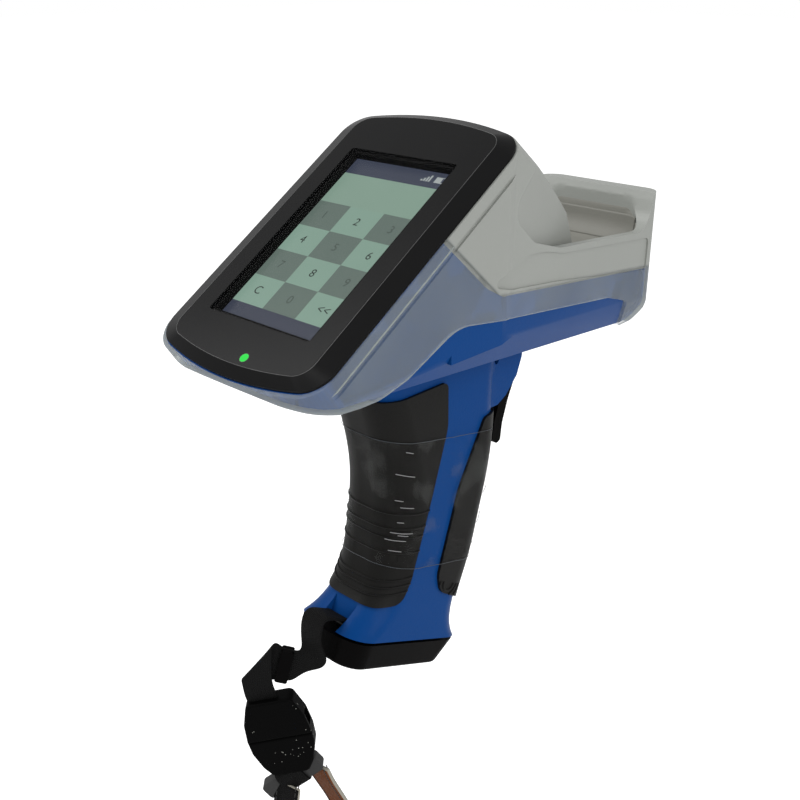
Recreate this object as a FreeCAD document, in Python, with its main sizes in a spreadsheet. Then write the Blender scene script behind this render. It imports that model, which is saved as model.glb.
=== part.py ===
import FreeCAD, Part
import math
import os
import Sketcher
from FreeCAD import Placement, Rotation, Vector

# Handheld laser spectrometer. The frame: +X towards the nose, +Y to the left, +Z up.
# The origin is the middle of the grip, on the handle's axis. Millimetres and degrees.
os.makedirs("parts", exist_ok=True)
doc = FreeCAD.newDocument("LaserSpectrometer")
dims = doc.addObject("Spreadsheet::Sheet", "Dims")

SIZES = {
    # display and its deck, measured from the middle of the picture
    "screenX": -48.0, "screenZ": 128.0, "screenTilt": 33.0,
    "moduleWide": 66.0, "moduleTall": 105.0, "moduleThick": 4.0,
    "bezelLap": 0.8, "bezelTall": 146.0, "bezelCentre": 2.0, "bezelCorner": 13.0, "bezelCrown": 150.0,
    "bezelFoot": 1.0, "bezelRise": 4.6, "bevelWide": 8.2, "bevelDeep": 2.6, "bevelEnd": 5.0,
    "windowWide": 58.0, "windowTall": 95.4, "windowCorner": 1.5, "glassThick": 1.1,
    "skirtWide": 74.0, "skirtTall": 113.0, "skirtDeep": 5.0, "skirtWall": 2.0, "skirtCorner": 6.0,
    "lightAcross": 7.2, "lightUp": -62.3, "lightRadius": 2.0, "lightDeep": 6.0,
    # body, side view
    "deckBottom": -71.5, "deckTop": 76.0, "deckRise": 1.0,
    "humpTopX": 30.0, "humpTopZ": 156.1, "humpBrowX": 60.5, "humpBrowZ": 132.3,
    "humpFootX": 84.0, "humpFootZ": 99.0, "bowBottomZ": 85.0, "browSideX": 20.0, "browSideZ": 158.0,
    "scoopBackX": -1.0, "scoopBackZ": 138.5, "scoopLowX": 20.0, "scoopLowZ": 122.2,
    "crestTop": 73.8, "crestFall": 38.0,
    "rimRearX": 42.0, "rimRearZ": 115.5, "rimFrontX": 129.0, "rimFrontZ": 105.8, "rimTopX": 134.0,
    "trayFloorZ": 99.0, "trayFrontX": 132.0, "trayRearX": 8.0, "trayWall": 3.6, "trayRound": 12.0,
    "noseX": 140.0, "noseTopZ": 124.0, "noseTopBackX": 135.0, "noseInnerTopZ": 121.5,
    "bellyZ": 74.0, "bellyFall": 0.123, "heelX": -103.5,
    "noseBottomRound": 12.0, "heelRound": 4.0, "browRound": 22.0,
    # body, plan view
    "bodyHalf": 45.7, "noseHalf": 32.0, "taperX": -8.0, "shoulderRound": 60.0, "noseRound": 8.0,
    "deckCorner": 13.0, "bowRearX": 0.0, "bowMidX": 52.0, "bowMidHalf": 31.0, "bowFrontX": 100.0,
    "bowFrontHalf": 16.0, "facetHeight": 16.0, "facetInset": 9.0,
    # walls
    "wall": 2.5, "sleeveWall": 1.8, "fit": 0.3, "deckSlack": 0.4,
    # line between the grey and the blue shells
    "partDeckX": -41.0, "partDeckZ": 138.0, "partKneeX": -11.0, "partKneeZ": 111.5,
    "partMidX": 0.0, "partMidZ": 105.5, "partFrontZ": 83.8, "partRound": 10.0,
    # handle stations from the body down to its foot
    "rootCX": 0.0, "rootCZ": 78.0, "rootTilt": 7.4, "rootDepth": 46.0, "rootHalf": 18.0, "rootCorner": 14.0,
    "shankCX": 0.8, "shankCZ": 42.0, "shankTilt": 7.2, "shankDepth": 38.5, "shankHalf": 18.6,
    "shankCorner": 14.5,
    "palmCX": 1.0, "palmCZ": 8.0, "palmTilt": 7.0, "palmDepth": 34.0, "palmHalf": 19.0, "palmCorner": 15.0,
    "gripCX": -3.2, "gripCZ": -12.0, "gripTilt": 9.0, "gripDepth": 32.2, "gripHalf": 19.2, "gripCorner": 15.0,
    "waistCX": -9.0, "waistCZ": -31.5, "waistTilt": 12.0, "waistDepth": 31.0, "waistHalf": 19.5,
    "waistCorner": 15.0,
    "heelTilt": 19.0, "heelCX": -20.0, "heelCZ": -49.5, "heelDepth": 32.5, "heelHalf": 20.0,
    "heelCorner": 14.0,
    "baseCX": -26.0, "baseCZ": -60.3, "baseTilt": 25.0, "baseDepth": 39.5, "baseHalf": 21.0,
    "baseCorner": 12.0,
    "handleWall": 2.8,
    # neck with the trigger slot
    "neckFrontX": 55.5, "neckLipX": 52.0, "neckLipZ": 48.5, "neckThroatX": 38.0, "neckThroatZ": 37.5,
    "neckBackX": 12.0, "neckHalf": 16.0, "neckRound": 5.0,
    "triggerHalf": 7.0, "triggerSlot": 7.4, "pivotX": 36.0, "pivotZ": 60.0, "pivotRadius": 1.5,
    "pivotGap": 0.05, "triggerTipZ": 11.0,
    # battery and foot
    "rake": 12.0, "packX": -4.5, "packDepth": 48.0, "packWide": 28.0, "packTop": 34.0, "packCorner": 4.0,
    "footTall": 15.0, "footInset": 4.6, "footLip": 0.3,
    "contactLong": 30.0, "contactWide": 22.0, "contactThick": 6.0, "contactPinRadius": 1.0,
    "contactPitch": 6.0, "contactAcross": 5.0,
    # strap notch and bar
    "notchHalf": 6.8, "notchDeep": 10.0, "notchTall": 14.0, "barRadius": 1.4, "barDown": 2.6, "barIn": 6.5,
    "rimThick": 4.0, "ribThick": 2.4, "ribLow": -42.0, "bayGap": 0.4, "bossRadius": 3.2, "footGap": 0.4,
    "slotBackX": 25.0, "slotTopZ": 68.0, "pinHalf": 12.0, "gripProud": 1.4,
    # webbing
    "strapWide": 13.0, "strapThick": 1.8, "loopWide": 13.6, "loopThick": 2.6, "hangX": -69.8,
    "hangTurn": 43.0, "loopTurn": 11.0,
    # nose fittings
    "beamZ": 86.0, "plateWide": 52.0, "plateTall": 48.0, "plateCorner": 9.0, "plateThick": 2.8,
    "plateProud": 2.6, "plateZ": 88.0, "ringRadius": 14.0, "ringRise": 1.5, "apertureRadius": 6.0,
    "windowRadius": 9.0, "windowThick": 2.0, "retainerRadius": 12.0, "retainerThick": 3.0,
    "plungerZ": 69.0, "plungerRadius": 2.0, "plungerGap": 0.06, "plungerTravel": 2.5, "collarRadius": 3.3,
    "stemRadius": 1.1, "screwAcross": 20.0, "screwUp": 18.0, "handleHeadY": 5.5, "screwRadius": 1.5,
    "screwHead": 2.75, "headTall": 1.9,
    # optics
    "benchZ": 73.5, "benchThick": 3.0, "benchLong": 102.0, "benchWide": 40.0, "benchX": 81.0,
    "barrelRadius": 9.0, "barrelWall": 1.6, "barrelBackX": 70.0, "barrelFrontX": 116.0, "lensBackX": 106.0,
    "lensFrontX": 110.0, "collarLong": 6.0, "collarWide": 22.0,
    "laserX": 40.0, "laserLong": 60.0, "laserWide": 26.0, "laserTall": 19.0,
    "driverX": 42.0, "driverY": 17.0, "driverLong": 52.0, "driverTall": 17.0,
    "mirrorX": 123.0, "mirrorLong": 11.0, "mirrorWide": 18.0, "mirrorBore": 5.0,
    "spreaderX": 25.0, "spreaderLong": 28.0, "spreaderWide": 24.0, "spreaderTall": 7.5,
    "finGap": 1.6, "finDeep": 5.0, "finCount": 7,
    "gratingX": 14.0, "gratingLong": 48.0, "gratingWide": 58.0, "gratingTall": 25.0,
    "sensorX": -10.8, "sensorZ": 105.0, "sensorWide": 44.0, "sensorTall": 19.0,
    # boards
    "boardThick": 1.6, "boardGap": 4.2, "boardTall": 104.0, "boardUp": 7.0, "boardDown": 12.0,
    "standoffRadius": 2.5, "fibreWide": 2.2,
    # pieces on the webbing
    "socketThick": 9.4, "plugThick": 8.6, "armThick": 5.0, "socketSlot": 5.4,
    "keeperHalf": 2.9, "keeperTall": 8.6, "keeperThick": 4.8,
    "adjusterHalf": 16.0, "adjusterTall": 4.6, "adjusterThick": 5.2,
}

for row, (alias, value) in enumerate(SIZES.items(), start=1):
    dims.set(f"A{row}", alias)
    dims.set(f"B{row}", str(value))
    dims.setAlias(f"B{row}", alias)
doc.recompute()


def size(expression):
    """Value of a size, or of sizes worked out together."""
    return float(dims.evalExpression(str(expression)))


def point(x, y, z):
    return Vector(size(x), size(y), size(z))


# Planes and frames
ACROSS = Vector(0, 1, 0)
SIDE = Placement(Vector(), Rotation(Vector(1, 0, 0), 90))
PLAN = Placement()
FRONT = Placement(Vector(), Rotation(Vector(0, 1, 0), Vector(0, 0, 1), Vector(1, 0, 0), "ZXY"))
screenUp = Vector(math.cos(math.radians(size("Dims.screenTilt"))), 0,
                  math.sin(math.radians(size("Dims.screenTilt"))))
screenOut = Vector(-screenUp.z, 0, screenUp.x)
DECK = Placement(point("Dims.screenX", 0, "Dims.screenZ"),
                 Rotation(Vector(0, -1, 0), screenUp, screenOut, "ZXY"))


def leaning(x, z, tilt):
    """Frame at a point of the middle plane whose local Z leans forward by tilt."""
    return Placement(point(x, 0, z), Rotation(ACROSS, size(tilt)))


RAKE = leaning("Dims.packX", 0, "Dims.rake")
BASE = leaning("Dims.baseCX", "Dims.baseCZ", "Dims.baseTilt")


def inFrame(frame, x, y, z):
    """Placement at local x, y, z of a frame, turned with it."""
    return frame.multiply(Placement(point(x, y, z), Rotation()))


def bind(item, **sizes):
    for name, expression in sizes.items():
        item.setExpression(name, str(expression))
    return item


def outline(name, corners, frame=PLAN):
    """Closed sketch through corners, each a pair of expressions."""
    sketch = doc.addObject("Sketcher::SketchObject", name)
    sketch.Placement = frame
    ends = [Vector(size(x), size(y), 0) for x, y in corners]
    count = len(ends)
    for i in range(count):
        sketch.addGeometry(Part.LineSegment(ends[i], ends[(i + 1) % count]))
    for i in range(count):
        sketch.addConstraint(Sketcher.Constraint("Coincident", i, 2, (i + 1) % count, 1))
    for i, (x, y) in enumerate(corners):
        for kind, expression, value in (("DistanceX", x, ends[i].x), ("DistanceY", y, ends[i].y)):
            index = sketch.addConstraint(Sketcher.Constraint(kind, -1, 1, i, 1, value))
            sketch.setExpression(f"Constraints[{index}]", str(expression))
    return sketch


def roundedOutline(name, halfX, halfY, corner, frame=PLAN):
    """Rounded rectangle about the frame's origin."""
    sketch = doc.addObject("Sketcher::SketchObject", name)
    sketch.Placement = frame
    a, b, r = size(halfX), size(halfY), size(corner)
    up = Vector(0, 0, 1)
    turns = ((a - r, -b + r, -90), (a - r, b - r, 0), (-a + r, b - r, 90), (-a + r, -b + r, 180))
    sides = ((-a + r, -b, a - r, -b), (a, -b + r, a, b - r), (a - r, b, -a + r, b), (-a, b - r, -a, -b + r))
    for (x0, y0, x1, y1), (cx, cy, start) in zip(sides, turns):
        sketch.addGeometry(Part.LineSegment(Vector(x0, y0, 0), Vector(x1, y1, 0)))
        circle = Part.Circle(Vector(cx, cy, 0), up, r)
        sketch.addGeometry(Part.ArcOfCircle(circle, math.radians(start), math.radians(start + 90)))
    for i in range(0, 8, 2):
        sketch.addConstraint(Sketcher.Constraint("Tangent", i, 2, i + 1, 1))
        sketch.addConstraint(Sketcher.Constraint("Tangent", i + 1, 2, (i + 2) % 8, 1))
        sketch.addConstraint(Sketcher.Constraint("Vertical" if i % 4 else "Horizontal", i))
    for i in (3, 5, 7):
        sketch.addConstraint(Sketcher.Constraint("Equal", 1, i))
    for kind, arguments, expression in (
            ("Radius", (1, r), corner),
            ("DistanceX", (-1, 1, 2, 1, a), halfX),
            ("DistanceX", (6, 1, -1, 1, a), halfX),
            ("DistanceY", (-1, 1, 4, 1, b), halfY),
            ("DistanceY", (0, 1, -1, 1, b), halfY)):
        index = sketch.addConstraint(Sketcher.Constraint(kind, *arguments))
        sketch.setExpression(f"Constraints[{index}]", str(expression))
    return sketch


def crownedOutline(name, half, top, bottom, corner, crown, frame):
    """Rounded rectangle whose two ends are long arcs."""
    sketch = doc.addObject("Sketcher::SketchObject", name)
    sketch.Placement = frame
    half, top, bottom, corner, crown = (size(value) for value in (half, top, bottom, corner, crown))
    drop = crown - math.sqrt((crown - corner) ** 2 - (half - corner) ** 2)
    lean = (half - corner) / (crown - corner)
    touch = Vector(crown * lean, crown * (1 - math.sqrt(1 - lean ** 2)), 0)
    rim = ((half, top - drop), (touch.x, top - touch.y), (-touch.x, top - touch.y), (-half, top - drop),
           (-half, bottom + drop), (-touch.x, bottom + touch.y), (touch.x, bottom + touch.y),
           (half, bottom + drop))
    diagonal = math.radians(45 + math.degrees(math.asin(lean)) / 2)
    corners = ((half - corner, top - drop), (-half + corner, top - drop),
               (-half + corner, bottom + drop), (half - corner, bottom + drop))
    signs = ((1, 1), (-1, 1), (-1, -1), (1, -1))

    def spot(pair):
        return Vector(pair[0], pair[1], 0)

    def bulge(i):
        return spot((corners[i][0] + signs[i][0] * corner * math.sin(diagonal),
                     corners[i][1] + signs[i][1] * corner * math.cos(diagonal)))

    rimSpots = [spot(pair) for pair in rim]
    pieces = (Part.Arc(rimSpots[0], bulge(0), rimSpots[1]),
              Part.Arc(rimSpots[1], spot((0, top)), rimSpots[2]),
              Part.Arc(rimSpots[2], bulge(1), rimSpots[3]),
              Part.LineSegment(rimSpots[3], rimSpots[4]),
              Part.Arc(rimSpots[4], bulge(2), rimSpots[5]),
              Part.Arc(rimSpots[5], spot((0, bottom)), rimSpots[6]),
              Part.Arc(rimSpots[6], bulge(3), rimSpots[7]),
              Part.LineSegment(rimSpots[7], rimSpots[0]))
    for piece in pieces:
        sketch.addGeometry(piece)
    return sketch


def prism(name, base, ahead, behind=0, along=None):
    """Solid swept from a flat outline along its normal, or along a given direction."""
    solid = doc.addObject("Part::Extrusion", name)
    solid.Base = base
    solid.Solid = True
    if along is None:
        solid.DirMode = "Normal"
    else:
        solid.DirMode = "Custom"
        solid.Dir = along
    return bind(solid, LengthFwd=ahead, LengthRev=behind)


def grown(name, sketch, offset):
    """The outline moved outwards by an offset, corners kept sharp."""
    if size(offset) == 0:
        return sketch
    wider = doc.addObject("Part::Offset2D", name)
    wider.Source = sketch
    wider.Join = 2
    return bind(wider, Value=offset)


def box(name, long, wide, tall, frame=PLAN):
    """Box centred on the frame's origin in X and Y, and standing on it."""
    solid = bind(doc.addObject("Part::Box", name), Length=long, Width=wide, Height=tall)
    solid.Placement = frame.multiply(Placement(Vector(-size(long) / 2, -size(wide) / 2, 0), Rotation()))
    return solid


def rod(name, radius, tall, frame=PLAN):
    solid = bind(doc.addObject("Part::Cylinder", name), Radius=radius, Height=tall)
    solid.Placement = frame
    return solid


def fuse(name, *pieces):
    joined = doc.addObject("Part::MultiFuse", name)
    joined.Shapes = list(pieces)
    joined.Refine = True
    return joined


def common(name, *pieces):
    shared = doc.addObject("Part::MultiCommon", name)
    shared.Shapes = list(pieces)
    shared.Refine = True
    return shared


def cut(name, base, *tools):
    """Base less its tools, which are joined first."""
    result = doc.addObject("Part::Cut", name)
    result.Base = base
    result.Tool = tools[0] if len(tools) == 1 else fuse(f"{name}Tools", *tools)
    result.Refine = True
    return result


def rounded(name, base, radiusOf):
    """Fillets on the edges for which radiusOf gives a radius."""
    doc.recompute()
    edges = []
    for number, edge in enumerate(base.Shape.Edges, start=1):
        radius = radiusOf(edge)
        if radius:
            edges.append((number, radius, radius))
    if not edges:
        return base
    result = doc.addObject("Part::Fillet", name)
    result.Base = base
    result.Edges = edges
    return result


def middle(edge):
    return edge.valueAt((edge.FirstParameter + edge.LastParameter) / 2)


def cornerSpots(corners, frame, offset):
    """Where each corner of an outline lies once it is grown, and whether it stands outwards."""
    flat = [Vector(size(corner[0]), size(corner[1]), 0) for corner in corners]
    count = len(flat)
    area = sum(flat[i - 1].x * flat[i].y - flat[i].x * flat[i - 1].y for i in range(count))
    turn = 1 if area > 0 else -1
    spots = []
    for i, spot in enumerate(flat):
        before = spot.sub(flat[i - 1]).normalize()
        after = flat[(i + 1) % count].sub(spot).normalize()
        outA = Vector(before.y, -before.x, 0).multiply(turn)
        outB = Vector(after.y, -after.x, 0).multiply(turn)
        outwards = turn * (before.x * after.y - before.y * after.x) > 0
        moved = spot.add(outA.add(outB).multiply(offset / (1 + outA.dot(outB))))
        spots.append((frame.multVec(moved), outwards))
    return spots


def shaped(name, corners, frame, ahead, behind=0, offset=0, shift=None):
    """Prism of an outline whose corners are x, y and, where rounded, a radius."""
    sketch = outline(f"{name}Outline", [corner[:2] for corner in corners], frame)
    solid = prism(f"{name}Prism", grown(f"{name}Grown", sketch, offset), ahead, behind)
    wider = size(offset)
    normal = frame.Rotation.multVec(Vector(0, 0, 1))
    spots = cornerSpots(corners, frame, wider)

    def radiusOf(edge):
        if len(edge.Vertexes) < 2 or edge.Curve.TypeId != "Part::GeomLine":
            return None
        run = edge.Vertexes[1].Point.sub(edge.Vertexes[0].Point)
        if run.Length < 0.01 or abs(run.normalize().dot(normal)) < 0.999:
            return None
        for corner, (spot, outwards) in zip(corners, spots):
            away = edge.Vertexes[0].Point.sub(spot)
            away = away.sub(Vector(normal).multiply(away.dot(normal)))
            if len(corner) > 2 and away.Length < 0.2:
                return max(0.4, size(corner[2]) + (wider if outwards else -wider))
        return None

    solid = rounded(name, solid, radiusOf) if any(len(corner) > 2 for corner in corners) else solid
    if shift:
        solid.Placement = Placement(shift, Rotation())
    return solid


def flatRim(edge, half):
    """Small radius for the rims of a slab of the buckle."""
    return 1.2 if abs(abs(buckleFrame.inverse().multVec(middle(edge)).z) - half) < 0.05 else None


def mirrored(name, source):
    twin = doc.addObject("Part::Mirroring", name)
    twin.Source = source
    twin.Normal = ACROSS
    return twin


# Outlines of the body
def deckSpot(up, out):
    """Corner in the side view, given along and above the screen's plane."""
    return (f"Dims.screenX + ({up}) * cos(Dims.screenTilt) - ({out}) * sin(Dims.screenTilt)",
            f"Dims.screenZ + ({up}) * sin(Dims.screenTilt) + ({out}) * cos(Dims.screenTilt)")


HULL_SIDE = (
    deckSpot("Dims.deckBottom", "Dims.deckRise"),
    deckSpot("Dims.deckTop", "Dims.deckRise"),
    ("Dims.browSideX", "Dims.browSideZ"),
    ("Dims.scoopBackX", "Dims.scoopBackZ", 10),
    ("Dims.scoopLowX", "Dims.scoopLowZ", 14),
    ("Dims.rimRearX", "Dims.rimRearZ", 14),
    ("Dims.rimFrontX", "Dims.rimFrontZ", 14),
    ("Dims.rimTopX", "Dims.noseInnerTopZ"),
    ("Dims.noseTopBackX", "Dims.noseTopZ"),
    ("Dims.noseX", "Dims.noseTopZ"),
    ("Dims.noseX", "Dims.bellyZ - Dims.bellyFall * Dims.noseX", "Dims.noseBottomRound"),
    ("Dims.heelX", "Dims.bellyZ - Dims.bellyFall * Dims.heelX", "Dims.heelRound"))

BOW_SIDE = (
    deckSpot(20, "Dims.deckRise"),
    deckSpot("Dims.deckTop", "Dims.deckRise"),
    ("Dims.humpTopX", "Dims.humpTopZ", 14),
    ("Dims.humpBrowX", "Dims.humpBrowZ", "Dims.browRound"),
    ("Dims.humpFootX", "Dims.humpFootZ"),
    ("Dims.humpFootX", "Dims.bowBottomZ"),
    deckSpot(20, "Dims.deckRise")[:1] + ("Dims.bowBottomZ",))

BODY_PLAN = (
    (-135, "-Dims.bodyHalf"),
    ("Dims.taperX", "-Dims.bodyHalf", "Dims.shoulderRound"),
    ("Dims.noseX", "-Dims.noseHalf", "Dims.noseRound"),
    ("Dims.noseX", "Dims.noseHalf", "Dims.noseRound"),
    ("Dims.taperX", "Dims.bodyHalf", "Dims.shoulderRound"),
    (-135, "Dims.bodyHalf"))

BOW_PLAN = (
    (-60, "-Dims.bodyHalf"),
    ("Dims.bowRearX", "-Dims.bodyHalf"),
    ("Dims.bowMidX", "-Dims.bowMidHalf", 40),
    ("Dims.bowFrontX", "-Dims.bowFrontHalf", 12),
    ("Dims.bowFrontX", "Dims.bowFrontHalf", 12),
    ("Dims.bowMidX", "Dims.bowMidHalf", 40),
    ("Dims.bowRearX", "Dims.bodyHalf"),
    (-60, "Dims.bodyHalf"))

TRAY_PLAN = (
    ("Dims.trayRearX", "-Dims.bodyHalf + Dims.trayWall"),
    ("Dims.trayFrontX", "-Dims.noseHalf - 1.6 + Dims.trayWall", "Dims.trayRound"),
    ("Dims.trayFrontX", "Dims.noseHalf + 1.6 - Dims.trayWall", "Dims.trayRound"),
    ("Dims.trayRearX", "Dims.bodyHalf - Dims.trayWall"))

FACET = (
    ("-Dims.bodyHalf - Dims.facetInset", "Dims.bellyZ + 2 * Dims.facetHeight"),
    ("-Dims.bodyHalf + 2 * Dims.facetInset", "Dims.bellyZ - Dims.facetHeight"),
    ("-Dims.bodyHalf - 40", "Dims.bellyZ - Dims.facetHeight"),
    ("-Dims.bodyHalf - 40", "Dims.bellyZ + 2 * Dims.facetHeight"))


def facetWedge(tag, offset):
    """Wedge that turns one lower side inwards towards the nose."""
    narrowing = size("(Dims.bodyHalf - Dims.noseHalf) / (Dims.noseX - Dims.taperX)")
    along = Vector(1, narrowing, -size("Dims.bellyFall")).normalize()
    frame = Placement(point("Dims.taperX", 0, 0), FRONT.Rotation)
    wedge = prism(f"{tag}Facet", outline(f"{tag}FacetOutline", FACET, frame), 170, 140, along)
    face = Vector(0, -size("3 * Dims.facetHeight"), -size("3 * Dims.facetInset")).normalize()
    wedge.Placement = Placement(face.multiply(size(offset)), Rotation())
    return wedge


crestAngle = math.radians(size("Dims.crestFall"))
crestWay = Vector(math.cos(crestAngle), 0, -math.sin(crestAngle))


def bodyForm(tag, offset):
    """The body's whole form, grown by an offset."""
    side = shaped(f"{tag}Side", HULL_SIDE, SIDE, 60, 60, offset)
    plan = shaped(f"{tag}Plan", BODY_PLAN, PLAN, 240, 10, offset)
    half = f"Dims.bodyHalf + Dims.deckSlack + ({offset})"
    corner = f"Dims.deckCorner + ({offset})"
    crown = f"Dims.bezelCrown + ({offset})"
    deck = prism(f"{tag}Deck", crownedOutline(
        f"{tag}DeckOutline", half, 400, f"Dims.deckBottom - ({offset})", corner, crown,
        inFrame(DECK, 0, 0, -200)), f"201 + ({offset})")
    hull = common(f"{tag}Hull", side, plan, deck)
    floor = point(0, 0, f"Dims.trayFloorZ + ({offset})")
    tray = shaped(f"{tag}Tray", TRAY_PLAN, PLAN, 60, 0, f"-({offset})", floor)
    tray = rounded(f"{tag}TrayFloor", tray, lambda edge:
                   size(f"Dims.trayRound - 1 - ({offset})") if abs(middle(edge).z - floor.z) < 0.1 else None)
    facet = facetWedge(tag, offset)
    trough = cut(f"{tag}Trough", hull, tray, facet, mirrored(f"{tag}FacetLeft", facet))
    profile = shaped(f"{tag}BowProfile", BOW_SIDE, SIDE, 60, 60, offset)
    walls = shaped(f"{tag}BowWalls", BOW_PLAN, PLAN, 240, 10, offset)
    bow = common(f"{tag}Bow", profile, walls)
    crest = prism(f"{tag}Crest", crownedOutline(
        f"{tag}CrestOutline", half, f"Dims.crestTop + ({offset})", -120, corner, crown,
        inFrame(DECK, 0, 0, "Dims.deckRise")), 130, 30, crestWay)
    shoulders = cut(f"{tag}Shoulders", box(f"{tag}CrestBlock", 120, 75, 90, inFrame(DECK, 0, 70, -78)), crest)
    return cut(f"{tag}Form", fuse(f"{tag}Whole", trough, bow), shoulders)


# Handle
def handleForm(tag, offset):
    """Raked handle, lofted through its stations and grown by an offset."""
    rings = []
    for station in ("root", "shank", "palm", "grip", "waist", "heel", "base"):
        frame = leaning(f"Dims.{station}CX", f"Dims.{station}CZ", f"Dims.{station}Tilt")
        rings.append(roundedOutline(f"{tag}{station.title()}", f"Dims.{station}Depth + ({offset})",
                                    f"Dims.{station}Half + ({offset})",
                                    f"Dims.{station}Corner + ({offset})", frame))
    loft = doc.addObject("Part::Loft", f"{tag}Loft")
    loft.Sections = rings
    loft.Solid = True
    loft.Ruled = False
    return loft


outer = bodyForm("Outer", 0)
inner = bodyForm("Inner", "-Dims.wall")
handle = handleForm("Handle", 0)
handleInside = handleForm("HandleInside", "-Dims.handleWall")


# Shells
PARTING = (
    ("Dims.partDeckX - 30 * 1.15", "Dims.partDeckZ + 30"),
    ("Dims.partKneeX", "Dims.partKneeZ", "Dims.partRound"),
    ("Dims.partMidX", "Dims.partMidZ", "Dims.partRound"),
    ("Dims.noseX + 20", "Dims.partFrontZ"),
    ("Dims.noseX + 20", 240),
    ("Dims.partDeckX - 30 * 1.15", 240))

NECK = (
    ("Dims.neckFrontX", "Dims.bellyZ - 6"),
    ("Dims.neckFrontX", "Dims.neckLipZ + 9", "Dims.neckRound"),
    ("Dims.neckLipX", "Dims.neckLipZ", 3),
    ("Dims.neckThroatX + 6", "Dims.neckThroatZ + 3", 3),
    ("Dims.neckThroatX", "Dims.neckThroatZ"),
    ("Dims.neckBackX", "Dims.neckThroatZ"),
    ("Dims.neckBackX", "Dims.bellyZ - 1"),
    ("Dims.neckFrontX", "Dims.bellyZ - 1"))

SLOT = (
    ("Dims.slotBackX", "Dims.neckThroatZ - 2"),
    ("Dims.neckFrontX + 20", "Dims.neckThroatZ - 2"),
    ("Dims.neckFrontX + 20", "Dims.neckLipZ + 8"),
    ("Dims.neckFrontX - 8", "Dims.slotTopZ"),
    ("Dims.slotBackX", "Dims.slotTopZ"))


def bayPrism(name, gap, low, high):
    """Column of the battery's section, widened by a gap, between two heights on the raked axis."""
    ring = roundedOutline(f"{name}Ring", f"Dims.packDepth / 2 + ({gap})", f"Dims.packWide / 2 + ({gap})",
                          f"Dims.packCorner + ({gap})", inFrame(RAKE, 0, 0, low))
    return prism(name, ring, f"({high}) - ({low})")


def yRod(name, radius, x, z, low, high, frame=PLAN):
    """Round bar along Y at x, z of a frame."""
    spot = frame.multVec(point(x, 0, z))
    return rod(name, radius, f"({high}) - ({low})",
               Placement(Vector(spot.x, size(low), spot.z), Rotation(Vector(1, 0, 0), -90)))


def xRod(name, radius, y, z, low, high):
    """Round bar along X at y, z."""
    return rod(name, radius, f"({high}) - ({low})", Placement(point(low, y, z), Rotation(ACROSS, 90)))


def zRod(name, radius, x, y, low, high):
    return rod(name, radius, f"({high}) - ({low})", Placement(point(x, y, low), Rotation()))


shell = cut("Shell", outer, inner)
upperTool = shaped("UpperTool", PARTING, SIDE, 60, 60)
skirtHole = prism("SkirtHole", roundedOutline(
    "SkirtHoleRing", "Dims.skirtWide / 2 + Dims.fit", "Dims.skirtTall / 2 + Dims.fit", "Dims.skirtCorner",
    inFrame(DECK, 0, 0, -8)), 16)
lightFrame = inFrame(DECK, "Dims.lightAcross", "Dims.lightUp", -8)
lightHole = rod("LightHole", "Dims.lightRadius + Dims.fit", 16, lightFrame)
plateFrame = Placement(point("Dims.noseX - 12", 0, "Dims.plateZ"), FRONT.Rotation)
plateHole = prism("PlateHole", roundedOutline(
    "PlateHoleRing", "Dims.plateWide / 2", "Dims.plateTall / 2", "Dims.plateCorner", plateFrame), 30)
openShell = cut("OpenShell", shell, skirtHole, lightHole, plateHole)

upperHousing = common("UpperHousing", openShell, upperTool)

# Lower shell with the handle
lowerShell = cut("LowerShell", openShell, upperTool)
neckForm = shaped("Neck", NECK, SIDE, "Dims.neckHalf", "Dims.neckHalf")
handleOut = cut("HandleOut", handle, inner)
neckOut = cut("NeckOut", neckForm, inner)

ribs = []
for i, station in enumerate(("Dims.ribLow", "Dims.ribLow + 25", "Dims.ribLow + 50")):
    ribs.append(box(f"RibSlab{i}", 120, 60, "Dims.ribThick", inFrame(RAKE, 0, 0, station)))
ribs.append(box("TopSlab", 120, 60, "Dims.ribThick", inFrame(RAKE, 0, 0, "Dims.packTop + 2.5")))
ribs.append(box("RimSlab", 120, 60, "Dims.rimThick", inFrame(BASE, 0, 0, -1)))
HANDLE_SCREWS = (("-Dims.packDepth / 2 - 4.2", 26), ("Dims.packDepth / 2 + 4.2", 14),
                 ("Dims.packDepth / 2 + 3.4", -34))
bosses = [yRod(f"HandleBoss{i}", "Dims.bossRadius", x, z, -24, 24, RAKE)
          for i, (x, z) in enumerate(HANDLE_SCREWS)]
notchBox = box("NotchWall", "2 * Dims.notchDeep + 5", "2 * Dims.notchHalf + 5", "Dims.notchTall + 2.5",
               inFrame(BASE, "-Dims.baseDepth", 0, 0))
keep = fuse("HandleKeep", neckForm, notchBox, *ribs, *bosses)
handleRoom = cut("HandleRoom", handleInside, keep)

BENCH_POSTS = ((66, 14), (66, -14), (118, 14), (118, -14))
REAR_POSTS = ((-76, 26), (-76, -26))
posts = [zRod(f"BenchPost{i}", "Dims.bossRadius", x, y, 50, "Dims.benchZ")
         for i, (x, y) in enumerate(BENCH_POSTS)]
posts += [zRod(f"RearPost{i}", "Dims.bossRadius", x, y, 70, 94) for i, (x, y) in enumerate(REAR_POSTS)]
postSolids = common("PostSolids", fuse("PostRods", *posts), outer)

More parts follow.
